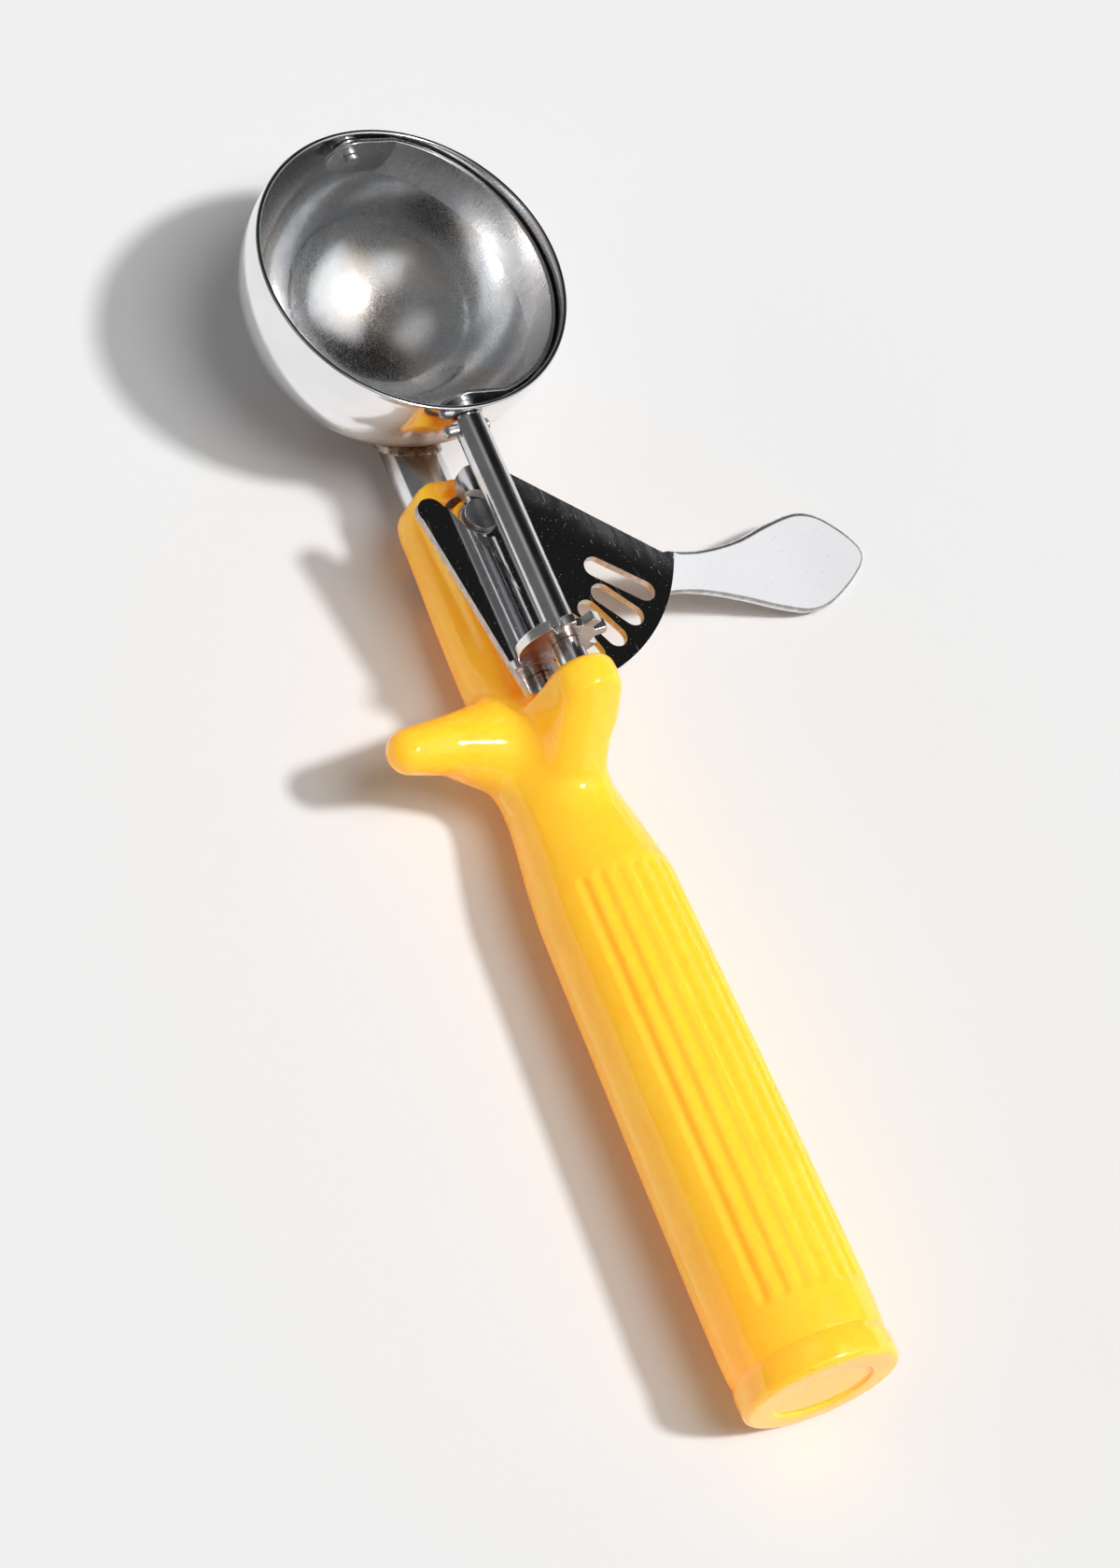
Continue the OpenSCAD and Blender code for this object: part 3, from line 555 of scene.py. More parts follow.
# blade, pins, rod, pinion and rivet
smallLooks = {
    # what differs from plain steel
    "bladeSteel": dict(colour=(0.93, 0.93, 0.94), rough=0.17, grainScale=(5.0, 0.15, 0.15), grainRough=0.16,
                       bump=0.004, scratchDensity=0.55),
    "pinSteel": dict(rough=0.12, cloudScale=0.6, scratchScale=1.6),
    "rodSteel": dict(colour=(0.80, 0.80, 0.81), patchColour=(0.70, 0.70, 0.71), rough=0.05,
                     grainScale=(0.05, 3.0, 3.0), grainRough=0.12, bump=0.004, scratchDensity=0.5),
    "crossPinSteel": dict(colour=(0.60, 0.60, 0.61), patchColour=(0.46, 0.45, 0.44), cloudScale=0.9,
                          rough=0.26, bump=0.004),
    "gearSteel": dict(colour=(0.90, 0.89, 0.88), patchColour=(0.84, 0.82, 0.80), cloudScale=0.3, rough=0.14,
                      bump=0.003, scratchDensity=0.4, speckShare=0.06),
    # the pinion's face towards the butt is painted brown: a painted dim reflection of the yellow handle
    "gearFaceReflection": dict(colour=(0.42, 0.33, 0.27), patchColour=(0.30, 0.23, 0.19), cloudScale=0.3, rough=0.20,
                     bump=0.003, speckShare=0.06),
    # the rivet head's sloping rim is painted light: a painted highlight
    "rivetRimHighlight": dict(colour=(0.85, 0.85, 0.86), rough=0.12),
    "journalSteel": dict(rough=0.12, grainScale=(6.0, 0.2, 0.2), bump=0.003),
    "rivetSteel": dict(colour=(0.42, 0.42, 0.44), patchColour=(0.30, 0.30, 0.32), cloudScale=0.4, rough=0.24,
                       bump=0.005, scratchDensity=0.6),
    "washerSteel": dict(colour=(0.62, 0.62, 0.63), patchColour=(0.5, 0.5, 0.5), cloudScale=0.5, rough=0.25),
    "springSteel": dict(colour=(0.22, 0.22, 0.23), patchColour=(0.12, 0.12, 0.13), cloudScale=0.7, rough=0.28,
                        grainScale=(2.0, 2.0, 2.0), bump=0.004),
}
smallSteels = {name: steel(name, dict(plainSteel, **look))[0] for name, look in smallLooks.items()}
smallPieces = [
    # node, name, body, slot, steel, edge rounding
    ("scraper_blade", "scraperBlade", "rod", "blade_steel", "bladeSteel", 0.16),
    ("blade_front_pin", "bladeFrontPin", "frame", "bright_steel", "pinSteel", 0.12),
    ("blade_front_spacer", "bladeFrontSpacer", "frame", "bright_steel", "pinSteel", 0.10),
    ("blade_rear_spacer", "bladeRearSpacer", "rod", "bright_steel", "pinSteel", 0.10),
    ("blade_drive_pin", "bladeDrivePin", "rod", "bright_steel", "pinSteel", 0.15),
    ("drive_rod", "driveRod", "rod", "rod_steel", "rodSteel", 0.14),
    ("rod_cross_pin", "rodCrossPin", "rod", "dull_steel", "crossPinSteel", 0.12),
    ("pinion", "pinionGear", "rod", "cast_steel", "gearSteel", 0.18),
    ("rod_journal", "rodJournal", "rod", "rod_steel", "journalSteel", 0.15),
    ("pivot_rivet", "pivotRivet", "frame", "rivet_steel", "rivetSteel", 0.28),
    ("rivet_washer", "rivetWasher", "frame", "dull_steel", "washerSteel", 0.08),
]
faceSteels = {
    # node: axis, then the range of the faces' slope along it, and their own steel
    # the pinion's face towards the butt carries a painted reflection of the handle
    "pinion": ((1, 0, 0), 0.9, 1.1, "gearFaceReflection"),
    # the rivet's sloping rim faces get a painted highlight
    "pivot_rivet": ((0, 0, 1), 0.25, 0.93, "rivetRimHighlight"),
}
roundSegments = 3
smoothAngle = 35
for node, name, body, slotName, finish, roundness in smallPieces:
    piece = copyOf(node, name)
    flattenFaces(piece)
    bevelEdges(piece, roundness, roundSegments)
    finishPiece(piece, [smallSteels[finish]], body, node)
    if node in faceSteels:
        axis, low, high, extra = faceSteels[node]
        axis = toolTurn.to_matrix() @ Vector(axis)
        piece.data.materials.append(smallSteels[extra])
        for f in piece.data.polygons:
            f.material_index = 1 if low < f.normal.dot(axis) < high else 0
    smoothBy(piece, smoothAngle, True)
print("blade, pins and rod made:", len(smallPieces))


# the thumb lever
leverShape = {
    "pivot": (43.5, -1.0), "radius": 35.2, "edgeAngle": 51.0, "edgeOffset": 10.6, "topZ": -9.5,
    "softRound": 0.62, "softSegments": 4, "edgeRound": 0.16, "neckGap": 0.4, "tabFrom": 20.0,
    "flatFrom": 0.8, "steepTo": 0.6, "cutTo": 0.25, "plateMargin": 1.0,
}
leverWear = {
    "rubScale": (0.12, 0.9, 1.0), "patches": {"Scale": 0.10, "Low": 0.30, "High": 0.60}, "plateFade": 0.5,
    "least": 0.42, "bandFrom": 1.0, "bandTo": 9.5, "bandRough": 0.27,
    "dust": {"Scale": 2.6, "Size": 0.26, "Share": 0.30}, "dustRough": 0.55,
}
leverLooks = {
    "leverSteel": dict(colour=(0.84, 0.84, 0.86), patchColour=(0.81, 0.815, 0.835), rough=0.035,
                       grainRough=0.02, cloudScale=0.05, cloudRough=0.01, scratchDensity=0.50,
                       scratchScale=0.35, scratchRough=0.30, speckShare=0.14, speckScale=1.3,
                       speckSize=0.13, speckRough=0.5, bump=0.002, grainHeight=0.05),
    "leverCutEdge": dict(colour=(0.66, 0.58, 0.53), patchColour=(0.50, 0.44, 0.41), cloudScale=0.9,
                         rough=0.36, grainScale=(2.0, 2.0, 9.0), bump=0.008),
    "leverRubbedEdge": dict(colour=(0.70, 0.69, 0.69), patchColour=(0.50, 0.48, 0.47), cloudScale=0.5,
                            rough=0.30, grainScale=(0.5, 4.0, 4.0), bump=0.006),
}


def wearPlate(tree, shader, spot):
    # a dull, finely rubbed band along the plate's upper edge, and dust
    s, w = leverShape, leverWear
    x, y, z = splitAxes(tree, spot)
    turn = math.radians(s["edgeAngle"])
    offset = weighted(tree, math.sin(turn) * s["pivot"][0] - math.cos(turn) * s["pivot"][1],
                      [(x, -math.sin(turn)), (y, math.cos(turn))])
    rubbed = noiseOn(tree, stretched(tree, spot, (0, 0, -s["edgeAngle"]), w["rubScale"]), 1.0, 3.0, 0.6, 0.6)
    patches = placeGroup(tree, cloudGroup, spot, **w["patches"])
    fromPivot = distanceTo(tree, spot, (*s["pivot"], s["topZ"]))
    onPlate = remap(tree, fromPivot, s["radius"], s["radius"] + w["plateFade"], 1.0, 0.0)
    uneven = weighted(tree, w["least"], [(mathNode(tree, 'MULTIPLY', rubbed, patches), 1.0)])
    band = mathNode(tree, 'MULTIPLY', remap(tree, offset, w["bandFrom"], w["bandTo"]),
                    mathNode(tree, 'MULTIPLY', uneven, onPlate))
    dust = placeGroup(tree, speckleGroup, spot, **w["dust"])
    worn = weighted(tree, fedBy(shader, 'Roughness'), [(band, w["bandRough"]), (dust, w["dustRough"])])
    tree.links.new(worn, shader.inputs['Roughness'])


def buildLever():
    s = leverShape
    obj = copyOf("thumb_lever", "thumbLever")
    flattenFaces(obj)
    mesh = obj.data
    made = [steel(name, dict(plainSteel, **look)) for name, look in leverLooks.items()]
    wearPlate(*made[0][1:])
    finishes = [parts[0] for parts in made]
    bright, cut, rubbed = range(3)
    for m in finishes:
        mesh.materials.append(m)
    turnBack = toolTurn.to_matrix().inverted()
    spots = [turnBack @ (v.co - toolPlace) / mm for v in mesh.vertices]
    facing = [turnBack @ f.normal for f in mesh.polygons]
    beside = {}
    for f in mesh.polygons:
        for key in f.edge_keys:
            beside.setdefault(key, []).append(facing[f.index].z)
    turn = math.radians(s["edgeAngle"])

    def onBorder(p):
        x, y = p.x - s["pivot"][0], p.y - s["pivot"][1]
        fromEdge = y * math.cos(turn) - x * math.sin(turn) - s["edgeOffset"]
        onUpperEdge = fromEdge > -0.05 and p.z > s["topZ"] - 0.1
        return onUpperEdge or (math.hypot(x, y) > s["radius"] + s["neckGap"] and y > s["tabFrom"])

    def isSoft(edge):
        sides = beside.get(tuple(edge.key), [])
        return (len(sides) == 2 and max(sides) > s["flatFrom"] and abs(min(sides)) < s["steepTo"]
                and all(onBorder(spots[i]) for i in edge.vertices))

    selectEdges(obj, isSoft)
    bpy.ops.mesh.bevel(offset=s["softRound"] * mm, segments=s["softSegments"], affect='EDGES',
                       clamp_overlap=False, material=rubbed)
    closeEdit()
    bevelEdges(obj, s["edgeRound"], roundSegments)
    softFaces = [f.material_index == rubbed for f in mesh.polygons]
    print("soft border faces:", sum(softFaces))
    finishPiece(obj, finishes, "lever", "thumb_lever")
    for f in mesh.polygons:
        n = turnBack @ f.normal
        middle = turnBack @ (f.center - toolPlace) / mm
        reach = math.hypot(middle.x - s["pivot"][0], middle.y - s["pivot"][1])
        isCut = abs(n.z) < s["cutTo"] and reach < s["radius"] - s["plateMargin"]
        f.material_index = cut if isCut else rubbed if softFaces[f.index] else bright
    smoothBy(obj, smoothAngle, True)


buildLever()
print("lever made")


# the return spring
springShape = {
    "coilRadius": 5.35, "wire": 1.1, "turns": 1.5, "legLength": 11.0, "pivotX": 43.5, "pivotY": -1.0,
    "topZ": -12.7, "lowZ": -14.85, "hookTop": -9.2, "hookBend": 1.1, "hookLead": 0.3, "steps": 72,
}


def buildSpring():
    s = springShape
    leg, radius, low, top = s["legLength"], s["coilRadius"], s["lowZ"], s["topZ"]
    points = [(leg, -radius, low), (leg / 2, -radius, low)]
    for i in range(s["steps"] + 1):
        share = i / s["steps"]
        a = math.radians(-90 - 360 * s["turns"] * share)
        points.append((radius * math.cos(a), radius * math.sin(a), low + (top - low) * share))
    points += [(leg / 2, radius, top), (leg - s["hookBend"], radius, top),
               (leg - s["hookLead"], radius, top + s["hookLead"]), (leg, radius, top + s["hookBend"]),
               (leg, radius, s["hookTop"])]
    curve = bpy.data.curves.new("returnSpring", 'CURVE')
    curve.dimensions = '3D'
    line = curve.splines.new('POLY')
    line.points.add(len(points) - 1)
    for spot, p in zip(line.points, points):
        spot.co = (*fromTool(p[0] + s["pivotX"], p[1] + s["pivotY"], p[2]), 1)
    curve.bevel_depth = s["wire"] / 2 * mm
    curve.bevel_resolution = 5
    curve.use_fill_caps = True
    obj = bpy.data.objects.new("returnSpring", curve)
    bpy.context.scene.collection.objects.link(obj)
    pick(obj)
    bpy.ops.object.convert(target='MESH')
    obj = bpy.context.active_object
    openEdit(obj, 'VERT', 'SELECT')
    bpy.ops.mesh.remove_doubles(threshold=1e-6)
    bpy.ops.mesh.normals_make_consistent(inside=False)
    closeEdit()
    finishPiece(obj, [smallSteels["springSteel"]], "frame", "return_spring")
    smoothBy(obj, 40)


buildSpring()
print("spring made")


# shank and weld
# brown stain by the weld, stretched along the tube to also paint a dark reflection
shankStainAndReflection = {"wobbleScale": 0.5, "wobble": 5.0, "from": 24.0, "to": 34.0, "colour": (0.30, 0.24, 0.19)}
beadShape = {"voxel": 0.22, "rippleScale": 1.1, "ripple": 0.35, "level": 0.55, "softPasses": 2, "smooth": 60}


def shankFinish():
    # polished, stained brown next to the weld; the stain reaches further along the tube to also paint its
    # dark reflection
    look = dict(plainSteel, colour=(0.82, 0.82, 0.83), rough=0.08, grainScale=(0.06, 4.0, 4.0),
                grainRough=0.08, bump=0.002)
    mat, tree, shader, spot = steel("shankSteel", look)
    s = shankStainAndReflection
    along = splitAxes(tree, spot)[0]
    wobble = noiseOn(tree, spot, s["wobbleScale"], 3.0, 0.6)
    stain = remap(tree, weighted(tree, along, [(wobble, s["wobble"])]), s["from"], s["to"], 1.0, 0.0)
    stained = blendColours(tree, stain, fedBy(shader, 'Base Color'), s["colour"])
    tree.links.new(stained, shader.inputs['Base Color'])
    return mat


def buildShank():
    tube = copyOf("shank", "shankTube")
    flattenFaces(tube)
    finishPiece(tube, [shankFinish()], "frame", "shank")
    smoothBy(tube, smoothAngle)


def buildWeld():
    s = beadShape
    bead = copyOf("shank_weld", "weldRing")
    grain = bead.modifiers.new("even", 'REMESH')
    grain.mode = 'VOXEL'
    grain.voxel_size = s["voxel"] * mm
    applyModifiers(bead)
    clouds = bpy.data.textures.new("beadRipple", 'CLOUDS')
    clouds.noise_scale = s["rippleScale"] * mm
    push = bead.modifiers.new("ripple", 'DISPLACE')
    push.texture = clouds
    push.strength = s["ripple"] * mm
    push.mid_level = s["level"]
    soften = bead.modifiers.new("soften", 'SMOOTH')
    soften.iterations = s["softPasses"]
    applyModifiers(bead)
    look = dict(plainSteel, colour=(0.52, 0.45, 0.36), patchColour=(0.30, 0.22, 0.16), cloudScale=0.8,
                rough=0.28, grainScale=(1.5, 1.5, 1.5), bump=0.02, speckShare=0.4)
    finishPiece(bead, [steel("weldBead", look)[0]], "frame", "shank_weld")
    smoothBy(bead, s["smooth"])


buildShank()
buildWeld()
print("shank and weld made")


# grip handle and end cap
plasticLook = {
    "colour": (1.0, 0.715, 0.050), "deepColour": (1.0, 0.69, 0.042),
    "rough": 0.05, "fineRough": 0.03, "scuffRough": 0.08, "shine": 0.5, "bump": 0.003,
    "glow": 0.85, "glowDepth": 7.0, "glowColours": (1.0, 0.07, 0.02),
    # a faint red emission all over: a painted glow that lifts the shaded sides towards orange
    "paintedGlow": 0.26, "paintedGlowColour": (1.0, 0.06, 0.0),
}


def plasticFinish(name, look):
    mat, tree, shader, spot = startMaterial(name)
    clouds = placeGroup(tree, cloudGroup, spot, Scale=0.05)
    fine = noiseOn(tree, spot, 2.2, 2.0, 0.5)
    scuffs = placeGroup(tree, scratchGroup, spot, Density=0.25, Scale=0.45)
    colour = blendColours(tree, clouds, look["colour"], look["deepColour"])
    tree.links.new(colour, shader.inputs['Base Color'])
    rough = weighted(tree, look["rough"], [(fine, look["fineRough"]), (scuffs, look["scuffRough"])])
    tree.links.new(rough, shader.inputs['Roughness'])
    shader.inputs['IOR'].default_value = 1.5
    shader.inputs['Specular IOR Level'].default_value = look["shine"]
    # painted glow: a faint red emission that lifts the shaded sides towards orange
    shader.inputs['Emission Color'].default_value = (*look["paintedGlowColour"], 1.0)
    shader.inputs['Emission Strength'].default_value = look["paintedGlow"]
    shader.subsurface_method = 'RANDOM_WALK'
    shader.inputs['Subsurface Weight'].default_value = look["glow"]
    shader.inputs['Subsurface Radius'].default_value = look["glowColours"]
    shader.inputs['Subsurface Scale'].default_value = look["glowDepth"] * mm
    addBump(tree, shader, weighted(tree, 0.0, [(fine, 1.0), (scuffs, -0.8)]), look["bump"])
    return mat


grooveShape = {
    "count": 7, "step": 15.0, "from": 111.0, "to": 189.0, "halfWidth": 1.5, "depth": 0.5, "margin": 3.0,
    "core": 11.0,
}
handleShape = {
    "voxel": 0.50, "smooth": 60, "allPasses": 2,
    # the zone that is softened, clear of the shank's socket and the rod's bore
    "softFrom": 60.0, "softTo": 116.0, "core": 6.0, "bore": 3.2,
    # moulded fillets
    "creaseLimit": 0.04, "creaseReach": 26, "filmPasses": 385, "relaxPasses": 7, "step": 0.5,
    # ridges evened out without shrinking the arm
    "evenPasses": 52, "evenSteps": (0.5, -0.52), "evenFade": 6.0,
    # rounded corner of the nose
    "cornerAt": (76.0, 8.5, -7.0), "cornerReach": 8.0, "cornerGain": 1.6, "cornerPasses": 4,
    "cornerBore": 4.2, "cornerFade": 2.0,
    # waist beside the nose
    "pinchAt": 82.3, "pinchLength": 6.0, "pinchDepth": 6.4, "pinchBelow": -7.0, "pinchFade": 7.0,
    "pinchSide": 3.0, "pinchWidth": 12.0, "pinchBore": 3.0,
}


def readPlaces(mesh):
    # the mesh's points in mm, in the scoop's own frame
    place = np.empty(len(mesh.vertices) * 3)
    mesh.vertices.foreach_get("co", place)
    return (place.reshape(-1, 3) - np.array(toolPlace)) @ np.array(toolTurn.to_matrix()) / mm


def writePlaces(mesh, place):
    turned = (place * mm) @ np.array(toolTurn.to_matrix()).T
    mesh.vertices.foreach_set("co", (turned + np.array(toolPlace)).ravel())
    mesh.update()


def neighbourMean(place, pairs):
    count = len(place)
    total = np.zeros_like(place)
    links = np.bincount(pairs.ravel(), minlength=count)
    for a, b in [(0, 1), (1, 0)]:
        for k in range(3):
            total[:, k] += np.bincount(pairs[:, a], place[pairs[:, b], k], count)
    return total / np.maximum(links, 1)[:, None]


def relax(place, pairs, weight, step):
    place += step * weight[:, None] * (neighbourMean(place, pairs) - place)


def fillCreases(obj, s):
    # a film drawn over the junction lifts off only at inward corners and leaves moulded fillets
    mesh = obj.data
    place = readPlaces(mesh)
    normals = np.empty(len(place) * 3)
    mesh.vertices.foreach_get("normal", normals)
    normals = normals.reshape(-1, 3) @ np.array(toolTurn.to_matrix())
    pairs = np.empty(len(mesh.edges) * 2, int)
    mesh.edges.foreach_get("vertices", pairs)
    pairs = pairs.reshape(-1, 2)
    inward = ((neighbourMean(place, pairs) - place) * normals).sum(1)
    away = np.hypot(place[:, 1], place[:, 2] - gripZ)
    awayRod = np.hypot(place[:, 1], place[:, 2] - rodZ)
    clear = (away > s["core"]) & (awayRod > s["bore"])
    inZone = (place[:, 0] > s["softFrom"]) & (place[:, 0] < s["softTo"]) & clear
    weight = (inZone & (inward > s["creaseLimit"])).astype(float)
    for ring in range(s["creaseReach"]):
        spread = weight.copy()
        for a, b in [(0, 1), (1, 0)]:
            np.maximum.at(spread, pairs[:, a], weight[pairs[:, b]] - 1.0 / s["creaseReach"])
        weight = spread
    weight[~inZone] = 0
    film = place.copy()
    for i in range(s["filmPasses"]):
        relax(film, pairs, weight, s["step"])
        sunk = np.minimum(((film - place) * normals).sum(1), 0)
        film -= sunk[:, None] * normals
    for i in range(s["relaxPasses"]):
        relax(film, pairs, weight, s["step"])

    middle, half = (s["softFrom"] + s["softTo"]) / 2, (s["softTo"] - s["softFrom"]) / 2
    even = np.clip((half - np.abs(place[:, 0] - middle)) / s["evenFade"], 0, 1) * clear
    for i in range(s["evenPasses"]):
        for step in s["evenSteps"]:
            relax(film, pairs, even, step)

    far = np.linalg.norm(film - np.array(s["cornerAt"]), axis=1) / s["cornerReach"]
    corner = np.clip(s["cornerGain"] * (1 - far), 0, 1)
    corner *= np.clip((awayRod - s["cornerBore"]) / s["cornerFade"], 0, 1)
    for i in range(s["cornerPasses"]):
        relax(film, pairs, corner, s["step"])

    side = np.clip((film[:, 1] + s["pinchSide"]) / s["pinchWidth"], 0, 1)
    side = side * side * (3 - 2 * side)
    along = np.exp(-((film[:, 0] - s["pinchAt"]) / s["pinchLength"]) ** 2)
    along *= np.clip((s["pinchBelow"] - film[:, 2]) / s["pinchFade"], 0, 1)
    film[:, 1] -= s["pinchDepth"] * along * side * np.clip((awayRod - s["bore"]) / s["pinchBore"], 0, 1)
    writePlaces(mesh, film)
    overall = obj.modifiers.new("mouldSoft", 'SMOOTH')
    overall.factor = s["step"]
    overall.iterations = s["allPasses"]
    applyModifiers(obj)


def pressGrooves(obj, s):
    # the grooves are drawn anew on the round grip, so that they stay straight
    place = readPlaces(obj.data)
    x, y, z = place[:, 0], place[:, 1], place[:, 2] - gripZ
    radius = np.hypot(y, z)
    side = np.degrees(np.arctan2(y, np.abs(z)))
    reach = s["halfWidth"]
    zone = (x > s["from"] - 2 * reach) & (x < s["to"] + 2 * reach) & (radius > s["core"])
    beyond = np.abs(side) - s["step"] * s["count"] / 2
    plain = zone & (beyond > s["margin"])
    bins = np.round(x).astype(int)
    spots = np.unique(bins[plain])
    level = np.interp(x, spots, [radius[plain & (bins == k)].mean() for k in spots])
    depth = np.zeros(len(x))
    over = np.maximum(np.maximum(s["from"] - x, x - s["to"]), 0)
    for i in range(s["count"]):
        turned = np.radians(side - (i - (s["count"] - 1) / 2) * s["step"])
        away = np.hypot(turned * level, over) / reach
        depth = np.maximum(depth, np.where(away < 1, np.cos(away * np.pi / 2) ** 2, 0))
    inside = zone & (beyond < s["margin"])
    ratio = np.where(inside, (level - s["depth"] * depth) / np.maximum(radius, 1), 1.0)
    place[:, 1] = y * ratio
    place[:, 2] = z * ratio + gripZ
    writePlaces(obj.data, place)


def buildHandle():
    s = handleShape
    obj = copyOf("handle", "gripHandle")
    remesh = obj.modifiers.new("even", 'REMESH')
    remesh.mode = 'VOXEL'
    remesh.voxel_size = s["voxel"] * mm
    remesh.use_smooth_shade = True
    applyModifiers(obj)
    fillCreases(obj, s)
    pressGrooves(obj, grooveShape)
    yellow = plasticFinish("yellowPlastic", plasticLook)
    finishPiece(obj, [yellow], "frame", "handle")
    smoothBy(obj, s["smooth"])
    print("handle faces:", len(obj.data.polygons))


capShape = {
    "seam": 198.02, "thickness": 5.5, "radius": 13.8, "edge": 1.3, "edgeSteps": 12, "sides": 128,
    # the groove at the seam: along the axis, and how far below the cap's radius
    "dip": [(-0.5, 0.34), (0.0, 0.25), (0.6, 0.12), (1.4, 0.0)],
    "recess": 8.8, "recessDepth": 0.5, "recessRim": 1.2, "lip": 0.25, "lipSteps": 4, "lipTurn": 70,
    "plug": 8.9, "plugLength": 12.0, "plugRound": 0.4,
}


def buildCap():
    s = capShape
    face, lip, edge = s["thickness"], s["lip"], s["edge"]
    low = face - s["recessDepth"]
    back = -s["plugLength"]
    profile = [(back, 0.0), (back, s["plug"] - s["plugRound"]), (back + s["plugRound"], s["plug"]),
               (s["dip"][0][0], s["plug"])]
    profile += [(along, s["radius"] - below) for along, below in s["dip"]]
    for i in range(1, s["edgeSteps"] + 1):
        a = math.radians(90 * i / s["edgeSteps"])
        profile.append((face - edge + edge * math.sin(a), s["radius"] - edge + edge * math.cos(a)))
    turns = [math.radians(s["lipTurn"] * i / s["lipSteps"]) for i in range(s["lipSteps"] + 1)]
    for a in turns:
        profile.append((face - lip + lip * math.cos(a), s["recess"] + lip - lip * math.sin(a)))
    for a in reversed(turns):
        profile.append((low + lip - lip * math.cos(a), s["recess"] - 1.4 * lip + lip * math.sin(a)))
    profile += [(low, s["recess"] - s["recessRim"]), (low, 0.0)]
    obj = turnProfile("endCap", [(x + s["seam"], radius) for x, radius in profile], s["sides"])
    pick(obj)
    obj.location = (0, 0, gripZ * mm)
    bpy.ops.object.transform_apply(location=True, rotation=True, scale=True)
    layDown(obj)
    plastic = plasticFinish("capPlastic", dict(plasticLook, shine=0.85, glowDepth=4.0))
    finishPiece(obj, [plastic], "frame", "end_cap")
    smoothBy(obj, smoothAngle)


buildHandle()
buildCap()
print("handle and cap made")


# table, lamps and camera
studio = {
    "fill": 0.20, "backdrop": 0.885, "paper": 0.775, "paperSize": 5.6, "cardReach": 1.5,
    "tentRadius": 3.0, "tentDark": 0.012, "tentGrey": 0.14, "darkSide": (-0.454, 0.542, 0.707),
    "darkFrom": 0.78, "darkTo": 0.97,
}
lamps = [
    # name, azimuth and elevation as seen from the scoop, strength, spread in degrees
    ("keySun", 59.5, 58.5, 2.2, 6.5),
    ("keySoft", 35.0, 74.0, 1.0, 26.0),
    ("sideSun", 248.0, 8.0, 0.4, 40.0),
]
cards = [
    # name, azimuth and elevation as seen from the scoop, width and height in degrees, soft edge, glow
    ("keyCore", 49.0, 60.5, 16, 13, 0.4, 27.0),
    ("keyCloth", 55.0, 50.0, 70, 60, 0.55, 1.04),
    ("topCloth", -8.0, 58.0, 60, 40, 0.95, 0.9),
    ("frontCloth", -62.0, 58.0, 50, 40, 0.95, 0.20),
    ("ceilingCloth", -146.0, 70.0, 44, 34, 0.95, 0.5),
]


def towards(azimuth, elevation):
    a, e = math.radians(azimuth), math.radians(elevation)
    return Vector((math.cos(a) * math.cos(e), math.sin(a) * math.cos(e), math.sin(e)))


def onlyForGloss(obj):
    obj.visible_camera = False
    obj.visible_diffuse = False
    obj.visible_shadow = False
    obj.visible_volume_scatter = False


def glowMaterial(name, strength):
    mat = bpy.data.materials.new(name)
    mat.use_nodes = True
    tree = mat.node_tree
    tree.nodes.clear()
    out = tree.nodes.new('ShaderNodeOutputMaterial')
    glow = tree.nodes.new('ShaderNodeEmission')
    glow.inputs['Strength'].default_value = strength
    tree.links.new(glow.outputs[0], out.inputs[0])
    return mat, tree, glow, out


def cardGlow(name, softEdge, strength):
    # bright in the middle, fading out towards the card's edges
    mat, tree, glow, out = glowMaterial(name, strength)
    coords = tree.nodes.new('ShaderNodeTexCoord')
    parts = splitAxes(tree, coords.outputs['Object'])
    inside = None
    for axis in (0, 1):
        side = mathNode(tree, 'ABSOLUTE', parts[axis])
        fade = remap(tree, side, 0.5 - 0.5 * softEdge, 0.5, 1.0, 0.0)
        inside = fade if inside is None else mathNode(tree, 'MULTIPLY', inside, fade)
    clear = tree.nodes.new('ShaderNodeBsdfTransparent')
    mix = tree.nodes.new('ShaderNodeMixShader')
    tree.links.new(inside, mix.inputs[0])
    tree.links.new(clear.outputs[0], mix.inputs[1])
    tree.links.new(glow.outputs[0], mix.inputs[2])
    tree.links.new(mix.outputs[0], out.inputs[0])
    return mat


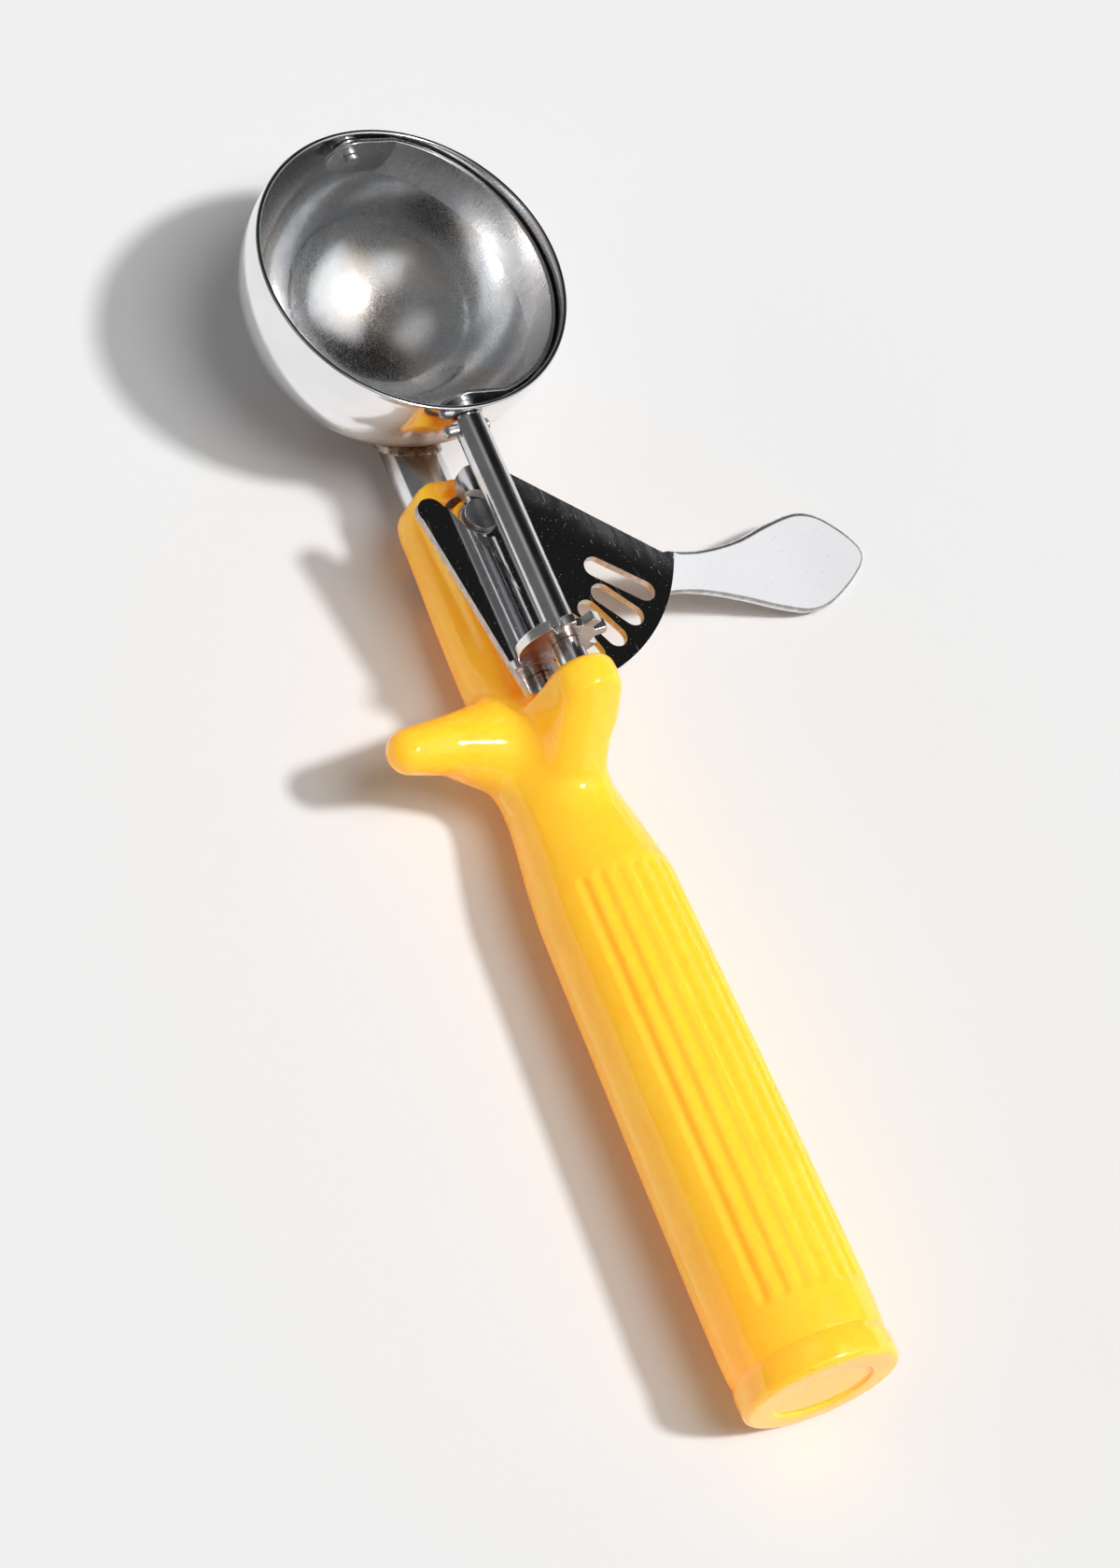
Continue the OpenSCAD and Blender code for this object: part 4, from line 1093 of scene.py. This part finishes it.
def buildStudio():
    s = studio
    bpy.ops.object.select_all(action='DESELECT')
    bpy.ops.mesh.primitive_plane_add(size=s["paperSize"], location=(0, 0, 0))
    paper = bpy.context.active_object
    paper.name = "paperSweep"
    mat = bpy.data.materials.new("paper")
    mat.use_nodes = True
    shader = mat.node_tree.nodes['Principled BSDF']
    shader.inputs['Base Color'].default_value = (s["paper"],) * 3 + (1.0,)
    shader.inputs['Roughness'].default_value = 1.0
    shader.inputs['Specular IOR Level'].default_value = 0.0
    paper.data.materials.append(mat)

    bpy.ops.mesh.primitive_uv_sphere_add(segments=48, ring_count=24, radius=s["tentRadius"])
    tent = bpy.context.active_object
    tent.name = "studioTent"
    mat, tree, glow, out = glowMaterial("tentCloth", 1.0)
    coords = tree.nodes.new('ShaderNodeTexCoord')
    darkest = Vector(s["darkSide"]).normalized() / s["tentRadius"]
    facing = vectorNode(tree, 'DOT_PRODUCT', coords.outputs['Object'], darkest).outputs['Value']
    level = remap(tree, facing, s["darkFrom"], s["darkTo"], s["tentGrey"], s["tentDark"])
    tree.links.new(level, glow.inputs['Strength'])
    tent.data.materials.append(mat)
    onlyForGloss(tent)

    for name, azimuth, elevation, width, height, softEdge, strength in cards:
        direction = towards(azimuth, elevation)
        bpy.ops.mesh.primitive_plane_add(size=1.0, location=direction * s["cardReach"])
        card = bpy.context.active_object
        card.name = name
        card.rotation_euler = direction.to_track_quat('Z', 'Y').to_euler()
        spans = [2 * s["cardReach"] * math.tan(math.radians(angle / 2)) for angle in (width, height)]
        card.scale = (*spans, 1)
        card.data.materials.append(cardGlow(name + "Glow", softEdge, strength))
        onlyForGloss(card)

    for name, azimuth, elevation, strength, spread in lamps:
        lamp = bpy.data.lights.new(name, 'SUN')
        lamp.energy = strength
        lamp.angle = math.radians(spread)
        sun = bpy.data.objects.new(name, lamp)
        sun.rotation_euler = towards(azimuth, elevation).to_track_quat('Z', 'Y').to_euler()
        sun.visible_glossy = False                  # the cards give the reflections
        bpy.context.scene.collection.objects.link(sun)

    world = bpy.data.worlds.new("studioAir")
    bpy.context.scene.world = world
    world.use_nodes = True
    tree = world.node_tree
    back = tree.nodes['Background']
    back.inputs['Color'].default_value = (1, 1, 1, 1)
    path = tree.nodes.new('ShaderNodeLightPath')
    shown = mathNode(tree, 'MAXIMUM', path.outputs['Is Glossy Ray'], path.outputs['Is Transmission Ray'])
    seen = mathNode(tree, 'MAXIMUM', path.outputs['Is Camera Ray'], shown)
    tree.links.new(remap(tree, seen, 0.0, 1.0, s["fill"], s["backdrop"]), back.inputs['Strength'])


cameraView = {
    "lens": 150, "sensor": 36, "near": 0.05, "far": 20, "place": (0.358548, -0.3568, 0.993886),
    "turn": (0.4293565, -0.1773874, 1.1833202),
}


def buildCamera():
    s = cameraView
    cam = bpy.data.cameras.new("viewer")
    cam.lens = s["lens"]
    cam.sensor_width = s["sensor"]
    cam.sensor_fit = 'AUTO'
    cam.clip_start = s["near"]
    cam.clip_end = s["far"]
    obj = bpy.data.objects.new("viewer", cam)
    obj.location = s["place"]
    obj.rotation_euler = s["turn"]
    bpy.context.scene.collection.objects.link(obj)
    bpy.context.scene.camera = obj


buildStudio()
buildCamera()
bpy.context.scene.view_settings.view_transform = 'Standard'
print("studio made")

bpy.context.view_layer.update()
